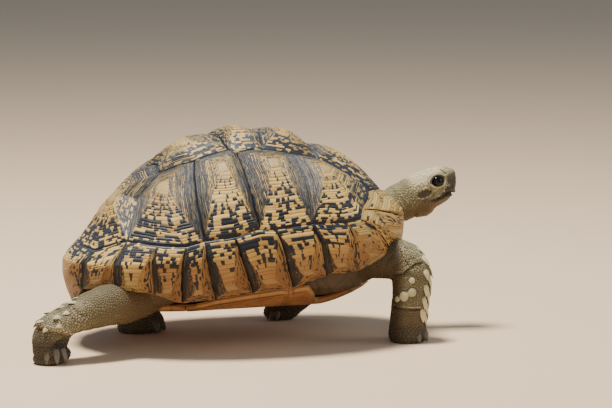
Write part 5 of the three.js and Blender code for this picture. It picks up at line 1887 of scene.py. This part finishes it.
class TORTOISE_OT_claws(bpy.types.Operator):
    """Blunt horny claws round each foot"""
    bl_idname = "tortoise.claws"
    bl_label = "Claws"

    def execute(self, context):
        for name, (count, middle, ring, (first, last), rise, beyond, thick) in CLAWS.items():
            parts = []
            for index in range(count):
                turn = math.radians(first + (last - first) * index / (count - 1))
                out = np.array([math.cos(turn), math.sin(turn), 0])
                stations = []
                for along, share in CLAW_STATIONS:
                    away = ring + beyond * math.sin(along * math.pi / 2)
                    height = 1.0 + (rise - 1.0) * (1 - along) ** 1.15 + 1.6 * math.sin(along * math.pi)
                    spot = np.array([*middle, 0]) + out * away + [0, 0, height]
                    stations.append((*spot, thick * share, thick * share * 0.86))
                rows = inside_box(Tube(stations, UP, 1.0).rows(20))
                rows[..., 2] = np.maximum(rows[..., 2], 0.05)
                parts.append(ring_body(rows)[0])
            claw = join(parts)
            smooth(claw, SMOOTH_HORN)
            finish_piece(claw, f"claws_{name}", claw_finish(), "claw_horn")
        return {"FINISHED"}


# ---- Beak ----------------------------------------------------------------------------------------

BEAK_COLUMNS = 80
BEAK_SPREAD = 100.0           # degrees to each side over which the sheath runs back
BEAK_MIDDLE = np.array([13.0, 0.0, 0.0])
BEAK_REACH = 14.0
BEAK_SMOOTHING = 5
# How far ahead each height of the sheaths may stand: height and x in the head's own frame.
BEAK_FRONT = [(-17, 24.0), (-14.2, 26.0), (-12.3, 28.4), (-9.8, 30.2), (-7.2, 31.7), (-4, 33.4), (-1, 34.8)]


# Heights over the lip of the rows of each sheath, and how far they stand off the skin.
BEAK_UPPER = ((5.4, 4.2, 2.6, 1.2, 0.5, -0.5, -0.3, 1.0), (-0.3, 0.25, 0.5, 0.55, 0.55, 0.4, -0.7, -1.6))
BEAK_LOWER = ((-3.6, -2.6, -1.5, -0.6, 0.5, 0.3, -0.8), (-0.3, 0.25, 0.45, 0.45, 0.15, -0.8, -1.6))
BEAK_PEAK = 2.6               # how much higher the upper sheath runs in the middle
BEAK_STEP_IN, BEAK_STEP_OUT = 1.6, 0.5


def beak_column(tree, turn, levels, outs, upper):
    """One column of a sheath, from the skin down over the lip and back inside."""
    way = np.array([math.cos(turn), math.sin(turn), 0.0])
    fade = 0.3 + 0.7 * (1 - ease(abs(math.degrees(turn)), 60, BEAK_SPREAD))
    middle = bell(turn, 0, 0.5)
    touch, reach, column = None, None, []
    for row, (level, out) in enumerate(zip(levels, outs)):
        guess = BEAK_MIDDLE + way * BEAK_REACH if touch is None else touch
        height = lip_heights(guess[0], guess[1])[0 if upper else 1] + level * fade
        if upper and level > 2:
            height += BEAK_PEAK * middle
        on_skin = level > 0.4 if upper else level < -0.4
        if on_skin and row < len(levels) - 2:
            start = from_head_space(BEAK_MIDDLE + way * 60 + [0, 0, height])
            ray = HEAD_AXES @ -way
            hit = tree.ray_cast(Vector(start), Vector(ray), 100)
            found = head_space(np.array(hit[0] if hit[0] is not None else start + ray * 45))
            wanted = np.linalg.norm((found - BEAK_MIDDLE)[:2])
            reach = wanted if reach is None else np.clip(wanted, reach - BEAK_STEP_IN, reach + BEAK_STEP_OUT)
            touch = BEAK_MIDDLE + way * reach
        if out < 0 and level < 2:
            out *= 1 + 1.5 * middle
        spot = np.array([touch[0], touch[1], height]) + way * out * fade
        spot[0] = min(spot[0], along_line(height, BEAK_FRONT) + min(out, 0) * 0.8)
        column.append(from_head_space(spot))
    return column


def strip_body(rows):
    """A closed band: the rows are rings round its section, the columns run along it."""
    around = np.transpose(rows, (1, 0, 2))
    ends = np.repeat(around[[0, -1]].mean(axis=1, keepdims=True), len(rows), axis=1)
    return ring_body(np.concatenate([ends[:1], around, ends[1:]]))[0]


class TORTOISE_OT_beak(bpy.types.Operator):
    """Horny sheaths of the upper and lower jaw"""
    bl_idname = "tortoise.beak"
    bl_label = "Beak"

    def execute(self, context):
        _, _, tree = skin_tree()
        turns = np.linspace(-1, 1, BEAK_COLUMNS) * math.radians(BEAK_SPREAD)
        for name, (levels, outs) in (("upper", BEAK_UPPER), ("lower", BEAK_LOWER)):
            columns = [beak_column(tree, turn, levels, outs, name == "upper") for turn in turns]
            rows = np.stack(columns, axis=1)
            for _ in range(BEAK_SMOOTHING):
                rows[:, 1:-1] = (rows[:, :-2] + 2 * rows[:, 1:-1] + rows[:, 2:]) / 4
            rows = inside_box(rows)
            sheath = strip_body(rows if name == "upper" else rows[::-1])
            smooth(sheath, SMOOTH_HORN)
            finish_piece(sheath, f"beak_{name}", beak_finish(), "beak_horn")
        return {"FINISHED"}


# ---- Stage ---------------------------------------------------------------------------------------

VIEW_AZIMUTH, VIEW_HEIGHT = -18.0, 7.5
VIEW_DISTANCE, VIEW_LENS = 3.0, 176.5
VIEW_RIGHT, VIEW_UP = 0.071, 0.1325
SENSOR_WIDTH, FLOOR_SIZE, FLOOR_ROUGHNESS = 36.0, 60.0, 0.85
SURROUND_TINT, SURROUND_STRENGTH = (0.62, 0.78, 1.0, 1.0), 0.30
AIM = Vector((0, 0, 0.1))
# Name, place, size, share of the key light's power and tint of each lamp.
LAMPS = (("key", (-0.45, 0.15, 2.3), 0.55, 1.0, (1.0, 0.96, 0.90)),
         ("fill", (-0.6, -2.6, 1.3), 1.6, 0.12, (1.0, 0.93, 0.84)),
         ("side", (2.4, -0.9, 1.2), 1.4, 0.12, (0.92, 0.96, 1.0)))


class TORTOISE_OT_stage(bpy.types.Operator):
    """Pale floor, soft light overhead and the camera"""
    bl_idname = "tortoise.stage"
    bl_label = "Floor, light and camera"

    def execute(self, context):
        settings = context.scene.tortoise_stage
        bpy.ops.mesh.primitive_plane_add(size=FLOOR_SIZE, location=(0, 0, 0))
        floor = context.object
        floor.name = "floor"
        f = Finish("pale_floor")
        pale = tuple(settings.floor)
        shade = f.mix(f.noise(f.object_place(), 3.0, 3.0), pale, tuple(part * 0.96 for part in pale))
        floor.data.materials.append(f.done(shade, FLOOR_ROUGHNESS))

        world = bpy.data.worlds.new("soft_surround")
        context.scene.world = world
        world.use_nodes = True
        background = world.node_tree.nodes["Background"]
        background.inputs["Color"].default_value = SURROUND_TINT
        background.inputs["Strength"].default_value = SURROUND_STRENGTH

        for name, place, size, share, tint in LAMPS:
            bpy.ops.object.light_add(type="AREA", location=place)
            lamp = context.object
            lamp.name = name
            lamp.data.size = size
            lamp.data.energy = settings.key * share
            lamp.data.color = tint
            lamp.rotation_euler = (AIM - Vector(place)).to_track_quat("-Z", "Y").to_euler()

        turn, lift = math.radians(VIEW_AZIMUTH), math.radians(VIEW_HEIGHT)
        back = Vector((math.sin(turn) * math.cos(lift), -math.cos(turn) * math.cos(lift), math.sin(lift)))
        right = Vector((math.cos(turn), math.sin(turn), 0))
        above = back.cross(right)
        spot = back * VIEW_DISTANCE + right * VIEW_RIGHT + above * VIEW_UP + Vector(FRAME_SHIFT) * MM
        bpy.ops.object.camera_add(location=spot, rotation=(math.pi / 2 - lift, 0, turn))
        camera = context.object
        camera.data.lens = VIEW_LENS
        camera.data.sensor_width = SENSOR_WIDTH
        context.scene.camera = camera
        return {"FINISHED"}


class TORTOISE_PT_panel(bpy.types.Panel):
    """Lists the pieces of the tortoise in the sidebar"""
    bl_idname = "TORTOISE_PT_panel"
    bl_label = "Leopard tortoise"
    bl_space_type = "VIEW_3D"
    bl_region_type = "UI"
    bl_category = "Tortoise"

    def draw(self, context):
        for name, _ in GROUPS:
            settings = getattr(context.scene, name)
            box = self.layout.box()
            box.label(text=name.removeprefix("tortoise_").title())
            for key in settings.bl_rna.properties.keys():
                if key not in ("rna_type", "name"):
                    box.prop(settings, key)
        for operator in OPERATORS:
            self.layout.operator(operator.bl_idname)


OPERATORS = (TORTOISE_OT_stage, TORTOISE_OT_vertebrals, TORTOISE_OT_costals, TORTOISE_OT_marginals,
             TORTOISE_OT_plastron, TORTOISE_OT_skin, TORTOISE_OT_eyes, TORTOISE_OT_beak, TORTOISE_OT_scales,
             TORTOISE_OT_claws)
GROUPS = (("tortoise_shell", TORTOISE_PG_shell), ("tortoise_skin", TORTOISE_PG_skin),
          ("tortoise_stage", TORTOISE_PG_stage))


def register():
    for _, group in GROUPS:
        bpy.utils.register_class(group)
    for name, group in GROUPS:
        setattr(bpy.types.Scene, name, PointerProperty(type=group))
    for operator in OPERATORS:
        bpy.utils.register_class(operator)
    bpy.utils.register_class(TORTOISE_PT_panel)


def unregister():
    bpy.utils.unregister_class(TORTOISE_PT_panel)
    for operator in reversed(OPERATORS):
        bpy.utils.unregister_class(operator)
    for name, group in reversed(GROUPS):
        delattr(bpy.types.Scene, name)
        bpy.utils.unregister_class(group)


def main():
    register()
    for operator in OPERATORS:
        getattr(bpy.ops.tortoise, operator.bl_idname.removeprefix("tortoise."))()


if __name__ == "__main__":
    main()
